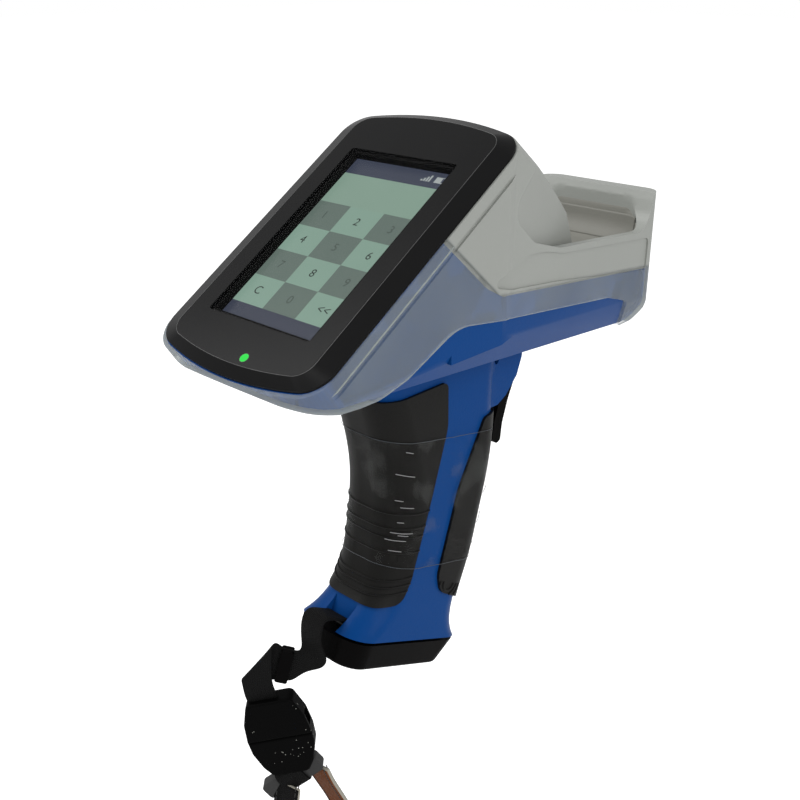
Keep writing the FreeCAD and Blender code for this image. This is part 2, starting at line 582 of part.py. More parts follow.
bay = bayPrism("Bay", "Dims.bayGap", -90, "Dims.packTop + 0.3")
slot = shaped("Slot", SLOT, SIDE, "Dims.triggerSlot", "Dims.triggerSlot")
notch = box("Notch", "2 * Dims.notchDeep", "2 * Dims.notchHalf", "Dims.notchTall + 20",
            inFrame(BASE, "-Dims.baseDepth", 0, -20))
contactHole = box("ContactHole", "Dims.contactLong", "Dims.contactWide", 40,
                  inFrame(RAKE, 0, 0, "Dims.packTop"))
pinHole = yRod("PinHole", "Dims.pivotRadius", "Dims.pivotX", "Dims.pivotZ", -40, "Dims.neckHalf + 5")
barHole = yRod("BarHole", "Dims.barRadius", "-Dims.baseDepth + Dims.barIn", "Dims.barDown", -11, 11, BASE)
screwHoles = []
for i, (x, z) in enumerate(HANDLE_SCREWS):
    screwHoles.append(yRod(f"HandleHole{i}", "Dims.screwRadius", x, z, -12, 12, RAKE))
    screwHoles.append(yRod(f"HandleHead{i}", "Dims.screwHead", x, z, "Dims.handleHeadY", 30, RAKE))
for i, (x, y) in enumerate(BENCH_POSTS + REAR_POSTS):
    belly = f"Dims.bellyZ - Dims.bellyFall * ({x})"
    screwHoles.append(zRod(f"BodyHole{i}", "Dims.screwRadius", x, y, 40, f"{belly} + 9"))
    screwHoles.append(zRod(f"BodyHead{i}", "Dims.screwHead", x, y, 40, f"{belly} + 2.4"))

lowerSolid = fuse("LowerSolid", lowerShell, handleOut, neckOut, postSolids)
lowerWhole = cut("LowerWhole", lowerSolid, handleRoom, bay, slot, notch, contactHole, pinHole, barHole,
                 *screwHoles)
leftHalf = box("LeftHalf", 400, 100, 400, Placement(Vector(0, 50, -120), Rotation()))
lowerLeft = common("LowerLeft", lowerWhole, leftHalf)
lowerRight = cut("LowerRight", lowerWhole, leftHalf)

# Sleeve
skin = bodyForm("Skin", "Dims.sleeveWall")
SLEEVE_EDGE = (
    (-135, 82.8), (-70, 82.0, 15), (-30, 100.5, 25), (92, 82.5, 15), (112, 76, 10), (124, 58), (165, 58),
    (165, 240), (-135, 240))
sleeveTool = shaped("SleeveTool", SLEEVE_EDGE, SIDE, 60, 60)
deckSlab = box("DeckSlab", 130, "Dims.deckTop - Dims.deckBottom + 30", 40,
               inFrame(DECK, 0, "(Dims.deckTop + Dims.deckBottom - 30) / 2", "Dims.deckRise"))
trayOpening = shaped("TrayOpening", TRAY_PLAN, PLAN, 60, 0, 0.4, point(0, 0, "Dims.trayFloorZ - 2"))
trayOpening = cut("TrayMouth", trayOpening, shaped(
    "BowKeep", BOW_PLAN, PLAN, 240, 10, "Dims.sleeveWall"))
BAND = (
    (-12.8, 112.6, 2), (17, 119.6, 6), (30, 118.2, 8), (46, 114.2, 20), (131, 104, 3), (131, 87.4, 3),
    (41.3, 102.6, 30), (5, 107.6, 8))
bandCut = cut("BandCut", shaped("BandTool", BAND, SIDE, 60, 60),
              shaped("BandKeep", BODY_PLAN, PLAN, 240, 10, "Dims.sleeveWall - 0.8"))
sleeveSide = "(Dims.bodyHalf + Dims.sleeveWall)"
sleeveGrooves = [box(f"Groove{i}", 2.0, 124, 2.0, inFrame(DECK, f"{hand} * {sleeveSide}", 0, -6))
                 for i, hand in enumerate((1, -1))]
plateRelief = prism("PlateRelief", roundedOutline(
    "PlateReliefRing", "Dims.plateWide / 2 + Dims.fit", "Dims.plateTall / 2 + Dims.fit", "Dims.plateCorner",
    plateFrame), 30)
sleeveBlank = common("SleeveBlank", cut("SleeveWalls", skin, outer), sleeveTool)
sleeve = cut("Sleeve", sleeveBlank, deckSlab, trayOpening, bandCut, plateRelief, *sleeveGrooves)


# Screen
bezelHalf = "Dims.bodyHalf + Dims.bezelLap"
bezelTop = "Dims.bezelCentre + Dims.bezelTall / 2"
bezelLow = "Dims.bezelCentre - Dims.bezelTall / 2"
rimHigh = "Dims.bezelRise - Dims.bevelDeep"
bezelFoot = crownedOutline("BezelFoot", bezelHalf, bezelTop, bezelLow, "Dims.bezelCorner",
                           "Dims.bezelCrown", inFrame(DECK, 0, 0, "Dims.bezelFoot"))
bezelRim = crownedOutline("BezelRim", bezelHalf, bezelTop, bezelLow, "Dims.bezelCorner",
                          "Dims.bezelCrown", inFrame(DECK, 0, 0, rimHigh))
bezelFace = crownedOutline("BezelFace", f"{bezelHalf} - Dims.bevelWide", f"{bezelTop} - Dims.bevelEnd",
                           f"{bezelLow} + Dims.bevelEnd", "Dims.bezelCorner - Dims.bevelEnd",
                           "Dims.bezelCrown", inFrame(DECK, 0, 0, "Dims.bezelRise"))
bezelBevel = doc.addObject("Part::Loft", "BezelBevel")
bezelBevel.Sections = [bezelRim, bezelFace]
bezelBevel.Solid = True
bezelBevel.Ruled = True
bezelPlate = prism("BezelPlate", bezelFoot, f"({rimHigh}) - Dims.bezelFoot")
skirt = prism("Skirt", roundedOutline(
    "SkirtRing", "Dims.skirtWide / 2", "Dims.skirtTall / 2", "Dims.skirtCorner",
    inFrame(DECK, 0, 0, "Dims.bezelFoot - Dims.skirtDeep")), "Dims.skirtDeep + 0.5")
skirtRoom = prism("SkirtRoom", roundedOutline(
    "SkirtRoomRing", "Dims.skirtWide / 2 - Dims.skirtWall", "Dims.skirtTall / 2 - Dims.skirtWall",
    "Dims.skirtCorner - Dims.skirtWall", inFrame(DECK, 0, 0, "Dims.bezelFoot - Dims.skirtDeep - 1")),
    "Dims.skirtDeep + 1")
windowHole = prism("WindowHole", roundedOutline(
    "WindowRing", "Dims.windowWide / 2 - 1", "Dims.windowTall / 2 - 1", "Dims.windowCorner",
    inFrame(DECK, 0, 0, -8)), 20)
glassSeat = prism("GlassSeat", roundedOutline(
    "GlassSeatRing", "Dims.windowWide / 2", "Dims.windowTall / 2", "Dims.windowCorner",
    inFrame(DECK, 0, 0, "Dims.bezelRise - Dims.glassThick")), 5)
bezelLight = rod("BezelLightHole", "Dims.lightRadius", 16, lightFrame)
bezelBlank = fuse("BezelBlank", bezelPlate, bezelBevel, skirt)
bezel = cut("Bezel", bezelBlank, skirtRoom, windowHole, glassSeat, bezelLight)
glass = prism("Glass", roundedOutline(
    "GlassRing", "Dims.windowWide / 2", "Dims.windowTall / 2", "Dims.windowCorner",
    inFrame(DECK, 0, 0, "Dims.bezelRise - Dims.glassThick")), "Dims.glassThick")
display = box("Display", "Dims.moduleWide", "Dims.moduleTall", "Dims.moduleThick",
              inFrame(DECK, 0, 0, "-Dims.moduleThick"))
light = rod("Light", "Dims.lightRadius", "Dims.bezelRise + Dims.lightDeep",
            inFrame(DECK, "Dims.lightAcross", "Dims.lightUp", "-Dims.lightDeep"))

# Grips
gripSkin = cut("GripSkin", handleForm("Grip", "Dims.gripProud"), handle, neckForm, outer)
REAR_GRIP = (
    (-2.4, 62, 3), (-2.4, 40.5, 20), (-13.2, 8.9, 40), (-26.7, -27.2, 12), (-33, -36.5, 8), (-46, -36, 8),
    (-90, -12), (-90, 62))
FRONT_GRIP = (
    (24, 36.6, 3), (6.5, 6.8, 40), (-8.2, -33.7, 10), (-7, -43, 8), (14, -58), (60, -40), (60, 36.6))
rearGrip = common("RearGrip", gripSkin, shaped("RearGripTool", REAR_GRIP, SIDE, 40, 40))
frontGrip = common("FrontGrip", gripSkin, shaped("FrontGripTool", FRONT_GRIP, SIDE, 40, 40))

# Battery with its foot
footTop = roundedOutline("FootTop", "Dims.baseDepth - Dims.footLip", "Dims.baseHalf - Dims.footLip",
                         "Dims.baseCorner - Dims.footLip", inFrame(BASE, 0, 0, "-1 - Dims.footGap"))
footLow = roundedOutline("FootLow", "Dims.baseDepth - Dims.footInset", "Dims.baseHalf - Dims.footInset + 1",
                         "Dims.baseCorner - 1", inFrame(BASE, 0, 0, "-Dims.footTall"))
footLoft = doc.addObject("Part::Loft", "FootLoft")
footLoft.Sections = [footLow, footTop]
footLoft.Solid = True
footLoft.Ruled = True
foot = rounded("Foot", footLoft, lambda edge: 2.5 if BASE.inverse().multVec(middle(edge)).z
               < -size("Dims.footTall") + 0.1 else None)
belowBase = box("BelowBase", 200, 100, 120, inFrame(BASE, 0, 0, "-121 - Dims.footGap"))
pack = cut("Pack", bayPrism("PackColumn", 0, -90, "Dims.packTop"), belowBase)
contactBlock = box("ContactBlock", "Dims.contactLong", "Dims.contactWide", "Dims.contactThick",
                   inFrame(RAKE, 0, 0, "Dims.packTop + 0.6"))
contactPins = [rod(f"ContactPin{i}", "Dims.contactPinRadius", 2, inFrame(
    RAKE, f"{i - 1.5} * Dims.contactPitch", "Dims.contactAcross", "Dims.packTop + Dims.contactThick"))
               for i in range(4)]
contacts = fuse("Contacts", contactBlock, *contactPins)

# Trigger
TRIGGER = (
    (26, 58, 1), (26, 62.5, 1), (31.6, 62.5), ("Dims.pivotX - 3", "Dims.pivotZ + 5", 1),
    ("Dims.pivotX + 5", "Dims.pivotZ + 5", 4), (50, 57, 6), (60, 48.5, 3), (62, 40.5, 6), (58, 32, 20),
    (54, 20, 20), (53, "Dims.triggerTipZ", 2), (50, "Dims.triggerTipZ - 1", 2), (46.5, 13, 2),
    (47.5, 22, 20), (51, 32, 12), (50, 40, 5), (43, 46.5, 6),
    ("Dims.pivotX", "Dims.pivotZ - 7.5", 4), (30, 56, 2))
triggerBlank = shaped("TriggerBlank", TRIGGER, SIDE, "Dims.triggerHalf", "Dims.triggerHalf")
trigger = cut("Trigger", triggerBlank, yRod(
    "TriggerBore", "Dims.pivotRadius + Dims.pivotGap", "Dims.pivotX", "Dims.pivotZ", -20, 20))
triggerPin = yRod("TriggerPin", "Dims.pivotRadius", "Dims.pivotX", "Dims.pivotZ", "-Dims.pinHalf",
                  "Dims.pinHalf")
triggerSwitch = box("TriggerSwitch", 7, 8, 7, Placement(point("Dims.slotBackX + 3.5", 0, 40), Rotation()))


def coil(name, radius, wire, pitch, tall, frame):
    """Coil spring along the frame's Z."""
    helix = bind(doc.addObject("Part::Helix", f"{name}Helix"), Radius=radius, Pitch=pitch, Height=tall)
    ring = bind(doc.addObject("Part::Circle", f"{name}Wire"), Radius=wire)
    ring.Placement = Placement(Vector(size(radius), 0, 0), Rotation(Vector(1, 0, 0), 90))
    sweep = doc.addObject("Part::Sweep", name)
    sweep.Sections = [ring]
    doc.recompute()
    sweep.Spine = (helix, ["Edge1"])
    sweep.Solid = True
    sweep.Frenet = True
    sweep.Placement = frame
    return sweep


triggerSpring = coil("TriggerSpring", 2.4, 0.35, 1.3, 3.9, Placement(Vector(28.6, 0, 63.2), Rotation()))

# Nose
plateFace = Placement(point("Dims.noseX + Dims.plateProud", 0, "Dims.plateZ"), FRONT.Rotation)
beamFace = Placement(point("Dims.noseX + Dims.plateProud", 0, "Dims.beamZ"), FRONT.Rotation)
plateBack = "-Dims.plateProud - Dims.wall"
plateFront = prism("PlateFront", roundedOutline("PlateRing", "Dims.plateWide / 2", "Dims.plateTall / 2",
                                                "Dims.plateCorner", inFrame(plateFace, 0, 0, plateBack)),
                   "Dims.plateProud + Dims.wall")
plateFlange = common("PlateFlange", prism("FlangeBlank", roundedOutline(
    "FlangeRing", "Dims.plateWide / 2 + 2", "Dims.plateTall / 2 + 1", "Dims.plateCorner + 1",
    inFrame(plateFace, 0, 0, f"{plateBack} - Dims.plateThick")), "Dims.plateThick"), inner)
contactRing = rod("ContactRing", "Dims.ringRadius", "Dims.ringRise + 1", inFrame(beamFace, 0, 0, -1))
ringRoom = rod("RingRoom", "Dims.retainerRadius", "Dims.ringRise + Dims.retainerThick",
               inFrame(beamFace, 0, 0, "-Dims.retainerThick"))
windowSeat = rod("WindowSeat", "Dims.windowRadius", 10,
                 inFrame(beamFace, 0, 0, "-Dims.retainerThick - Dims.windowThick"))
aperture = rod("Aperture", "Dims.apertureRadius", 40, inFrame(beamFace, 0, 0, -30))
plungerBore = rod("PlungerBore", "Dims.plungerRadius + Dims.plungerGap", 40,
                  Placement(point("Dims.noseX - 30", 0, "Dims.plungerZ"), FRONT.Rotation))
NOSE_SCREWS = [(f"{y} * Dims.screwAcross", f"{z} * Dims.screwUp") for y in (1, -1) for z in (1, -1)]
noseHoles = []
noseScrewPieces = []
for i, (y, z) in enumerate(NOSE_SCREWS):
    deep = inFrame(plateFace, y, z, "-Dims.headTall")
    low = inFrame(plateFace, y, z, f"{plateBack} - Dims.plateThick")
    noseHoles += [rod(f"NoseHead{i}", "Dims.screwHead", 10, deep),
                  rod(f"NoseBore{i}", "Dims.screwRadius", 30, low)]
    noseScrewPieces += [rod(f"NoseScrewHead{i}", "Dims.screwHead", "Dims.headTall", deep),
                        rod(f"NoseShank{i}", "Dims.screwRadius",
                            f"-({plateBack}) + Dims.plateThick - 0.2", low)]
noseBlank = fuse("NoseBlank", plateFront, plateFlange, contactRing)
nosePlate = cut("NosePlate", noseBlank, ringRoom, windowSeat, aperture, plungerBore, *noseHoles)
noseScrews = fuse("NoseScrews", *noseScrewPieces)
laserWindow = rod("LaserWindow", "Dims.windowRadius", "Dims.windowThick",
                  inFrame(beamFace, 0, 0, "-Dims.retainerThick - Dims.windowThick"))
windowRing = cut("WindowRetainer", rod("RetainerDisc", "Dims.retainerRadius", "Dims.retainerThick",
                                       inFrame(beamFace, 0, 0, "-Dims.retainerThick")),
                 rod("RetainerBore", "Dims.apertureRadius + 1", 10, inFrame(beamFace, 0, 0, -5)))
flangeBackX = "Dims.noseX - Dims.wall - Dims.plateThick"
tipX = "Dims.noseX + Dims.plateProud + Dims.ringRise + Dims.plungerTravel"
plungerPin = xRod("PlungerPin", "Dims.plungerRadius", 0, "Dims.plungerZ", f"{flangeBackX} - 2", tipX)
plungerCollar = xRod("PlungerCollar", "Dims.collarRadius", 0, "Dims.plungerZ",
                     f"{flangeBackX} - 2", f"{flangeBackX} - 0.3")
plungerStem = xRod("PlungerStem", "Dims.stemRadius", 0, "Dims.plungerZ",
                   f"{flangeBackX} - 13", f"{flangeBackX} - 1")
plunger = fuse("Plunger", plungerPin, plungerCollar, plungerStem)
plungerSpring = coil("PlungerSpring", 2.1, 0.4, 1.5, 6, Placement(
    point(f"{flangeBackX} - 8.6", 0, "Dims.plungerZ"), Rotation(ACROSS, 90)))
plungerSwitch = box("PlungerSwitch", 8, 10, 7, Placement(
    point(f"{flangeBackX} - 20.5", 0, "Dims.benchZ - 7"), Rotation()))

# Optics and boards
benchTop = "Dims.benchZ + Dims.benchThick"
laserTop = f"{benchTop} + Dims.laserTall"


def standing(name, long, wide, tall, x, y, z):
    """Box standing at x, y, z of the whole part."""
    return box(name, long, wide, tall, Placement(point(x, y, z), Rotation()))


bench = standing("BenchPlate", "Dims.benchLong", "Dims.benchWide", "Dims.benchThick", "Dims.benchX", 0,
                 "Dims.benchZ")
collars = [standing(f"Collar{i}", "Dims.collarLong", "Dims.collarWide", "Dims.beamZ - Dims.benchZ",
                    spot, 0, "Dims.benchZ")
           for i, spot in enumerate(("Dims.barrelBackX + Dims.collarLong", "Dims.barrelFrontX - 8"))]
barrelBody = xRod("BarrelBody", "Dims.barrelRadius", 0, "Dims.beamZ", "Dims.barrelBackX", "Dims.barrelFrontX")
benchHoles = [zRod(f"BenchHole{i}", "Dims.screwRadius", x, y, 60, 80) for i, (x, y) in enumerate(BENCH_POSTS)]
opticsBench = cut("OpticsBench", fuse("BenchBlank", bench, *collars), xRod(
    "BarrelCut", "Dims.barrelRadius", 0, "Dims.beamZ", 60, 130), *benchHoles)
barrel = cut("Barrel", barrelBody, xRod(
    "BarrelBore", "Dims.barrelRadius - Dims.barrelWall", 0, "Dims.beamZ", 60, 130))
lens = xRod("Lens", "Dims.barrelRadius - Dims.barrelWall", 0, "Dims.beamZ", "Dims.lensBackX",
            "Dims.lensFrontX")
laserModule = standing("LaserModule", "Dims.laserLong", "Dims.laserWide", "Dims.laserTall", "Dims.laserX", 0,
                       benchTop)
driverBoard = standing("DriverBoard", "Dims.driverLong", "Dims.boardThick", "Dims.driverTall", "Dims.driverX",
                       "Dims.driverY", benchTop)
mirrorBody = standing("MirrorBody", "Dims.mirrorLong", "Dims.mirrorWide", "Dims.mirrorWide",
                      "Dims.mirrorX", 0, benchTop)
mirrorBlock = cut("MirrorBlock", mirrorBody, xRod("MirrorBore", "Dims.mirrorBore", 0, "Dims.beamZ", 110, 135))
fins = [standing(f"Fin{i}", "Dims.spreaderLong + 2", "Dims.finGap", "Dims.finDeep", "Dims.spreaderX",
                 f"2 * Dims.finGap * ({i} - (Dims.finCount - 1) / 2)", f"{laserTop} + 1")
        for i in range(int(size("Dims.finCount")))]
spreader = cut("Spreader", standing("SpreaderBlock", "Dims.spreaderLong", "Dims.spreaderWide",
                                    "Dims.spreaderTall", "Dims.spreaderX", 0, laserTop), *fins)
spectrometer = standing("Spectrometer", "Dims.gratingLong", "Dims.gratingWide", "Dims.gratingTall",
                        "Dims.gratingX", 0, f"{laserTop} + Dims.spreaderTall")
sensorBoard = standing("SensorBoard", "Dims.boardThick", "Dims.sensorWide", "Dims.sensorTall",
                       "Dims.sensorX", 0, "Dims.sensorZ")
mainBoard = box("MainBoard", "2 * (Dims.bodyHalf - Dims.wall - Dims.boardGap)", "Dims.boardTall",
                "Dims.boardThick", inFrame(DECK, 0, "Dims.boardUp", "-Dims.boardDown"))
boardTop = "(Dims.boardDown - Dims.boardThick)"
standoffs = fuse("Standoffs", *[
    rod(f"Standoff{i}", "Dims.standoffRadius", f"{boardTop} - Dims.moduleThick",
        inFrame(DECK, x, y, f"-{boardTop}"))
    for i, (x, y) in enumerate(((-28, -40), (28, -40), (-28, 48), (28, 48)))])


def bentPath(name, spots):
    """Wire of straight runs with tangent arcs between them, and its shortest arc radius."""
    edges = []
    radii = []
    start = spots[0]
    for i in range(1, len(spots) - 1):
        before = spots[i].sub(spots[i - 1])
        after = spots[i + 1].sub(spots[i])
        half = before.getAngle(after) / 2
        reach = 0.45 * min(before.Length, after.Length)
        radii.append(reach / math.tan(half))
        into = spots[i].sub(Vector(before).normalize().multiply(reach))
        out = spots[i].add(Vector(after).normalize().multiply(reach))
        middleWay = into.add(out).multiply(0.5)
        toCorner = spots[i].sub(middleWay)
        sagitta = radii[-1] * (1 - math.cos(half))
        top = middleWay.add(toCorner.normalize().multiply(sagitta))
        edges.append(Part.LineSegment(start, into).toShape())
        edges.append(Part.Arc(into, top, out).toShape())
        start = out
    edges.append(Part.LineSegment(start, spots[-1]).toShape())
    wire = Part.Wire(edges)
    print(name, "length", round(wire.Length, 1), "radii", [round(radius, 1) for radius in radii])
    return wire


def swept(name, spots, wide, thick, widthAlong):
    """Band or, without a width direction, a round tube along a bent path."""
    wire = bentPath(name, spots)
    start = spots[0]
    along = spots[1].sub(start).normalize()
    if widthAlong is None:
        profile = Part.Wire(Part.Circle(start, along, wide / 2).toShape())
    else:
        side = Vector(widthAlong).multiply(wide / 2)
        lift = along.cross(widthAlong).normalize().multiply(thick / 2)
        ring = [start.add(side).add(lift), start.sub(side).add(lift),
                start.sub(side).sub(lift), start.add(side).sub(lift)]
        profile = Part.makePolygon(ring + ring[:1])
    piece = doc.addObject("Part::Feature", name)
    piece.Shape = wire.makePipeShell([profile], True, widthAlong is None)
    section = Part.Face(profile).Area
    print(name, "volume", round(piece.Shape.Volume), "and section by length", round(section * wire.Length))
    return piece


fibre = swept("Fibre", [Vector(121, 9, 88), Vector(121, 19, 88), Vector(101, 24, 89), Vector(74, 20, 89),
                        Vector(56, 14, 112), Vector(38, 14, 112)], size("Dims.fibreWide"), 0, None)

# Screws of the shells
bodyScrewPieces = []
for i, (x, y) in enumerate(BENCH_POSTS + REAR_POSTS):
    belly = f"Dims.bellyZ - Dims.bellyFall * ({x})"
    bodyScrewPieces += [zRod(f"BodyScrewHead{i}", "Dims.screwHead", x, y, f"{belly} + 0.6", f"{belly} + 2.4"),
                        zRod(f"BodyShank{i}", "Dims.screwRadius", x, y, f"{belly} + 2.4", f"{belly} + 8.8")]
housingScrews = fuse("HousingScrews", *bodyScrewPieces)
handleScrewPieces = []
for i, (x, z) in enumerate(HANDLE_SCREWS):
    handleScrewPieces += [yRod(f"HandleScrewHead{i}", "Dims.screwHead", x, z, "Dims.handleHeadY",
                               "Dims.handleHeadY + 2", RAKE),
                          yRod(f"HandleShank{i}", "Dims.screwRadius", x, z, -11.8, "Dims.handleHeadY", RAKE)]
handleScrews = fuse("HandleScrews", *handleScrewPieces)

# Strap
strapBar = yRod("StrapBar", "Dims.barRadius", "-Dims.baseDepth + Dims.barIn", "Dims.barDown", -11, 11, BASE)
barSpot = BASE.multVec(point("-Dims.baseDepth + Dims.barIn", 0, "Dims.barDown"))
strapWide = size("Dims.strapWide")
strapThick = size("Dims.strapThick")
barEdge = barSpot.add(Vector(-1, 0, 0.45).normalize().multiply(size("Dims.barRadius") + 0.02))
dropSpots = [barEdge, Vector(barSpot.x - 7.7, 0, barSpot.z + 3.4), point("Dims.hangX + 0.5", 0, barSpot.z - 0.6),
             point("Dims.hangX", 0, -54), point("Dims.hangX", 0, -61)]
drop = swept("StrapDrop", dropSpots, strapWide, strapThick, ACROSS)
hangTurn = Rotation(Vector(0, 0, 1), size("Dims.hangTurn"))
hang = Placement(point("Dims.hangX", 0, 0), hangTurn.multiply(FRONT.Rotation))
fallSpots = [hang.multVec(Vector(along, height, 0)) for along, height in (
    (0, -44), (0, -60), (24.6, -62.3), (23.2, -82.5))]
facing = hang.Rotation.multVec(Vector(0, 0, 1))
fall = swept("StrapFall", fallSpots, strapThick, strapWide, facing)
tether = fuse("Tether", drop, fall)


def hung(along, height, lean):
    """Frame on the hanging strap, with its local Y leaning along the strap."""
    return hang.multiply(Placement(point(along, height, 0), Rotation(Vector(0, 0, 1), -size(lean))))


buckleFrame = hung(16.3, -98, 12.5)
SOCKET = ((-15.4, -1), (-14.4, 9, 8), (-10.6, 20, 3), (10.6, 20, 3), (14.4, 9, 8), (15.4, -1))
PLUG = (
    (-15.4, -1.3), (-15, -8, 8), (-12, -17, 8), (-8.5, -22.5, 3), (8.5, -22.5, 3), (12, -17, 8), (15, -8, 8),
    (15.4, -1.3))


def slab(name, corners, thick, frame):
    """Prism of an outline, half of it on each side of the frame."""
    return shaped(name, corners, inFrame(frame, 0, 0, f"-({thick}) / 2"), thick)


socketBody = rounded("SocketEdges", slab("SocketBody", SOCKET, "Dims.socketThick", buckleFrame),
                     lambda edge: flatRim(edge, size("Dims.socketThick / 2")))
socketRoom = slab("SocketRoom", ((-12.5, -2), (-12.5, 13, 3), (12.5, 13, 3), (12.5, -2)), "Dims.socketSlot",
                  buckleFrame)
socketSides = slab("SocketSides", ((-20, 2.5), (-20, 9.5), (20, 9.5), (20, 2.5)), "Dims.socketSlot",
                   buckleFrame)
socket = cut("Socket", socketBody, socketRoom, socketSides, tether)
plugBody = rounded("PlugEdges", slab("PlugBody", PLUG, "Dims.plugThick", buckleFrame),
                   lambda edge: flatRim(edge, size("Dims.plugThick / 2")))
plugArms = []
for i, hand in enumerate((1, -1)):
    arm = ((hand * 9, -2), (hand * 12, -2), (hand * 12.2, 9), (hand * 9.6, 12))
    plugArms.append(slab(f"PlugArm{i}", arm, "Dims.armThick", buckleFrame))
plugTongue = slab("PlugTongue", ((-2.5, -2), (-2.5, 11, 1), (2.5, 11, 1), (2.5, -2)), "Dims.armThick",
                  buckleFrame)
plug = fuse("Plug", plugBody, plugTongue, *plugArms)
keeperFrame = hung(12.6, -60.6, -14)
keeperRing = roundedOutline("KeeperRing", "Dims.keeperHalf", "Dims.keeperTall", 1,
                            inFrame(keeperFrame, 0, 0, "-Dims.keeperThick / 2"))
keeper = cut("Keeper", prism("KeeperBlock", keeperRing, "Dims.keeperThick"), tether)
adjusterFrame = hung(11.2, -123.8, 37.7)
adjusterRing = roundedOutline("AdjusterRing", "Dims.adjusterHalf", "Dims.adjusterTall", 2.5,
                              inFrame(adjusterFrame, 0, 0, "-Dims.adjusterThick / 2"))
adjusterBar = prism("AdjusterBar", adjusterRing, "Dims.adjusterThick")
loopTurn = Rotation(Vector(0, 0, 1), size("Dims.loopTurn"))
loopFrame = Placement(adjusterFrame.Base, loopTurn.multiply(SIDE.Rotation))
wristSpots = [loopFrame.multVec(Vector(along, height, 0)) for along, height in (
    (-4, -3), (-8, -19), (-13, -46), (-13, -76), (0, -103), (25, -115), (49, -103), (59, -76), (50, -46),
    (27, -20), (11, -3))]
wristLoop = swept("WristLoop", wristSpots, size("Dims.loopWide"), size("Dims.loopThick"),
                  loopFrame.Rotation.multVec(Vector(0, 0, 1)))
adjuster = cut("Adjuster", adjusterBar, wristLoop, plug)

NODES = {
    "upper_housing": upperHousing, "lower_housing_left": lowerLeft, "lower_housing_right": lowerRight,
    "silicone_sleeve": sleeve, "screen_bezel": bezel, "touch_glass": glass, "lcd_module": display,
    "status_light": light, "rear_grip": rearGrip, "front_grip": frontGrip, "battery_foot": foot,
    "battery_pack": pack, "battery_contacts": contacts, "trigger": trigger, "trigger_pin": triggerPin,
    "trigger_spring": triggerSpring, "trigger_switch": triggerSwitch, "nose_plate": nosePlate,
    "laser_window": laserWindow, "window_ring": windowRing, "contact_plunger": plunger,
    "plunger_spring": plungerSpring, "plunger_switch": plungerSwitch, "laser_module": laserModule,
    "laser_driver_board": driverBoard, "lens_barrel": barrel, "focusing_lens": lens,
    "optics_bench": opticsBench, "mirror_block": mirrorBlock, "spectrometer_box": spectrometer,
    "sensor_board": sensorBoard, "collection_fibre": fibre, "main_board": mainBoard,
    "board_standoffs": standoffs, "heat_spreader": spreader,
    "housing_screws": housingScrews, "handle_screws": handleScrews, "nose_screws": noseScrews,
    "strap_bar": strapBar, "tether_strap": tether, "strap_keeper": keeper, "buckle_socket": socket,
    "buckle_plug": plug, "strap_adjuster": adjuster, "wrist_loop": wristLoop,
}

doc.recompute()
for item in doc.Objects:
    if "Invalid" in item.State or "Error" in item.State:
        raise RuntimeError(f"{item.Name} did not build: {item.State}")
for node, item in NODES.items():
    item.Label = node
    if item.Shape.isNull() or not item.Shape.isValid() or item.Shape.Volume <= 0:
        raise RuntimeError(f"{node} is not a closed solid")
    item.Shape.exportStep(f"parts/{node}.step")
    print(f"{node:22s} {len(item.Shape.Solids)} solids {item.Shape.Volume:10.0f} mm3")
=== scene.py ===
import math

import bmesh
import bpy
from mathutils import Matrix, Vector
from mathutils.bvhtree import BVHTree


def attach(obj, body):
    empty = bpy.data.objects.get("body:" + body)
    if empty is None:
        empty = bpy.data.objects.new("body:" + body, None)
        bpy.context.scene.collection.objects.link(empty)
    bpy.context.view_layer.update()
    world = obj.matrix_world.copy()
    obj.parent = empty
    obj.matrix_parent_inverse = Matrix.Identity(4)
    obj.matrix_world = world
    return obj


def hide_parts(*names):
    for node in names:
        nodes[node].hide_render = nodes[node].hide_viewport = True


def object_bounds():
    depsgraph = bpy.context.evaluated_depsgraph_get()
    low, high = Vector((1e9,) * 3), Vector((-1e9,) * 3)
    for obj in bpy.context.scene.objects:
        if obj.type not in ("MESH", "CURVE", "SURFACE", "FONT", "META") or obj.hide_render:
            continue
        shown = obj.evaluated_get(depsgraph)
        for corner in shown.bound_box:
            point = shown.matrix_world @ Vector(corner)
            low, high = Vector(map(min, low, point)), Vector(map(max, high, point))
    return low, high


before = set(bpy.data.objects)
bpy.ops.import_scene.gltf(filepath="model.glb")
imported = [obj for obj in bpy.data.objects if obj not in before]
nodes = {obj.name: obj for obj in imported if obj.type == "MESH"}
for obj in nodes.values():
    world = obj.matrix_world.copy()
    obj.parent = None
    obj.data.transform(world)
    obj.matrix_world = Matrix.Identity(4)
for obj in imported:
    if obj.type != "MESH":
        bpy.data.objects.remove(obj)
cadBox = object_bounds()
scene = bpy.context.scene
mm = 0.001
print("frame loaded:", len(nodes), "nodes")

# the screen's own frame: across to the right, up the screen, out of the glass
deck = {"centre": (-0.048, 0.0, 0.128), "tilt": 33.0}
tilt = math.radians(deck["tilt"])
deckUp = Vector((math.cos(tilt), 0, math.sin(tilt)))
deckOut = Vector((-math.sin(tilt), 0, math.cos(tilt)))
deckMatrix = Matrix((
    (0, deckUp.x, deckOut.x, deck["centre"][0]),
    (-1, deckUp.y, deckOut.y, deck["centre"][1]),
    (0, deckUp.z, deckOut.z, deck["centre"][2]),
    (0, 0, 0, 1)))


def link(item):
    scene.collection.objects.link(item)
    return item


def meshPiece(name, points, faces, material=None, smooth=False):
    data = bpy.data.meshes.new(name)
    data.from_pydata([tuple(p) for p in points], [], faces)
    data.update()
    piece = link(bpy.data.objects.new(name, data))
    if material:
        data.materials.append(material)
    for face in data.polygons:
        face.use_smooth = smooth
    return piece


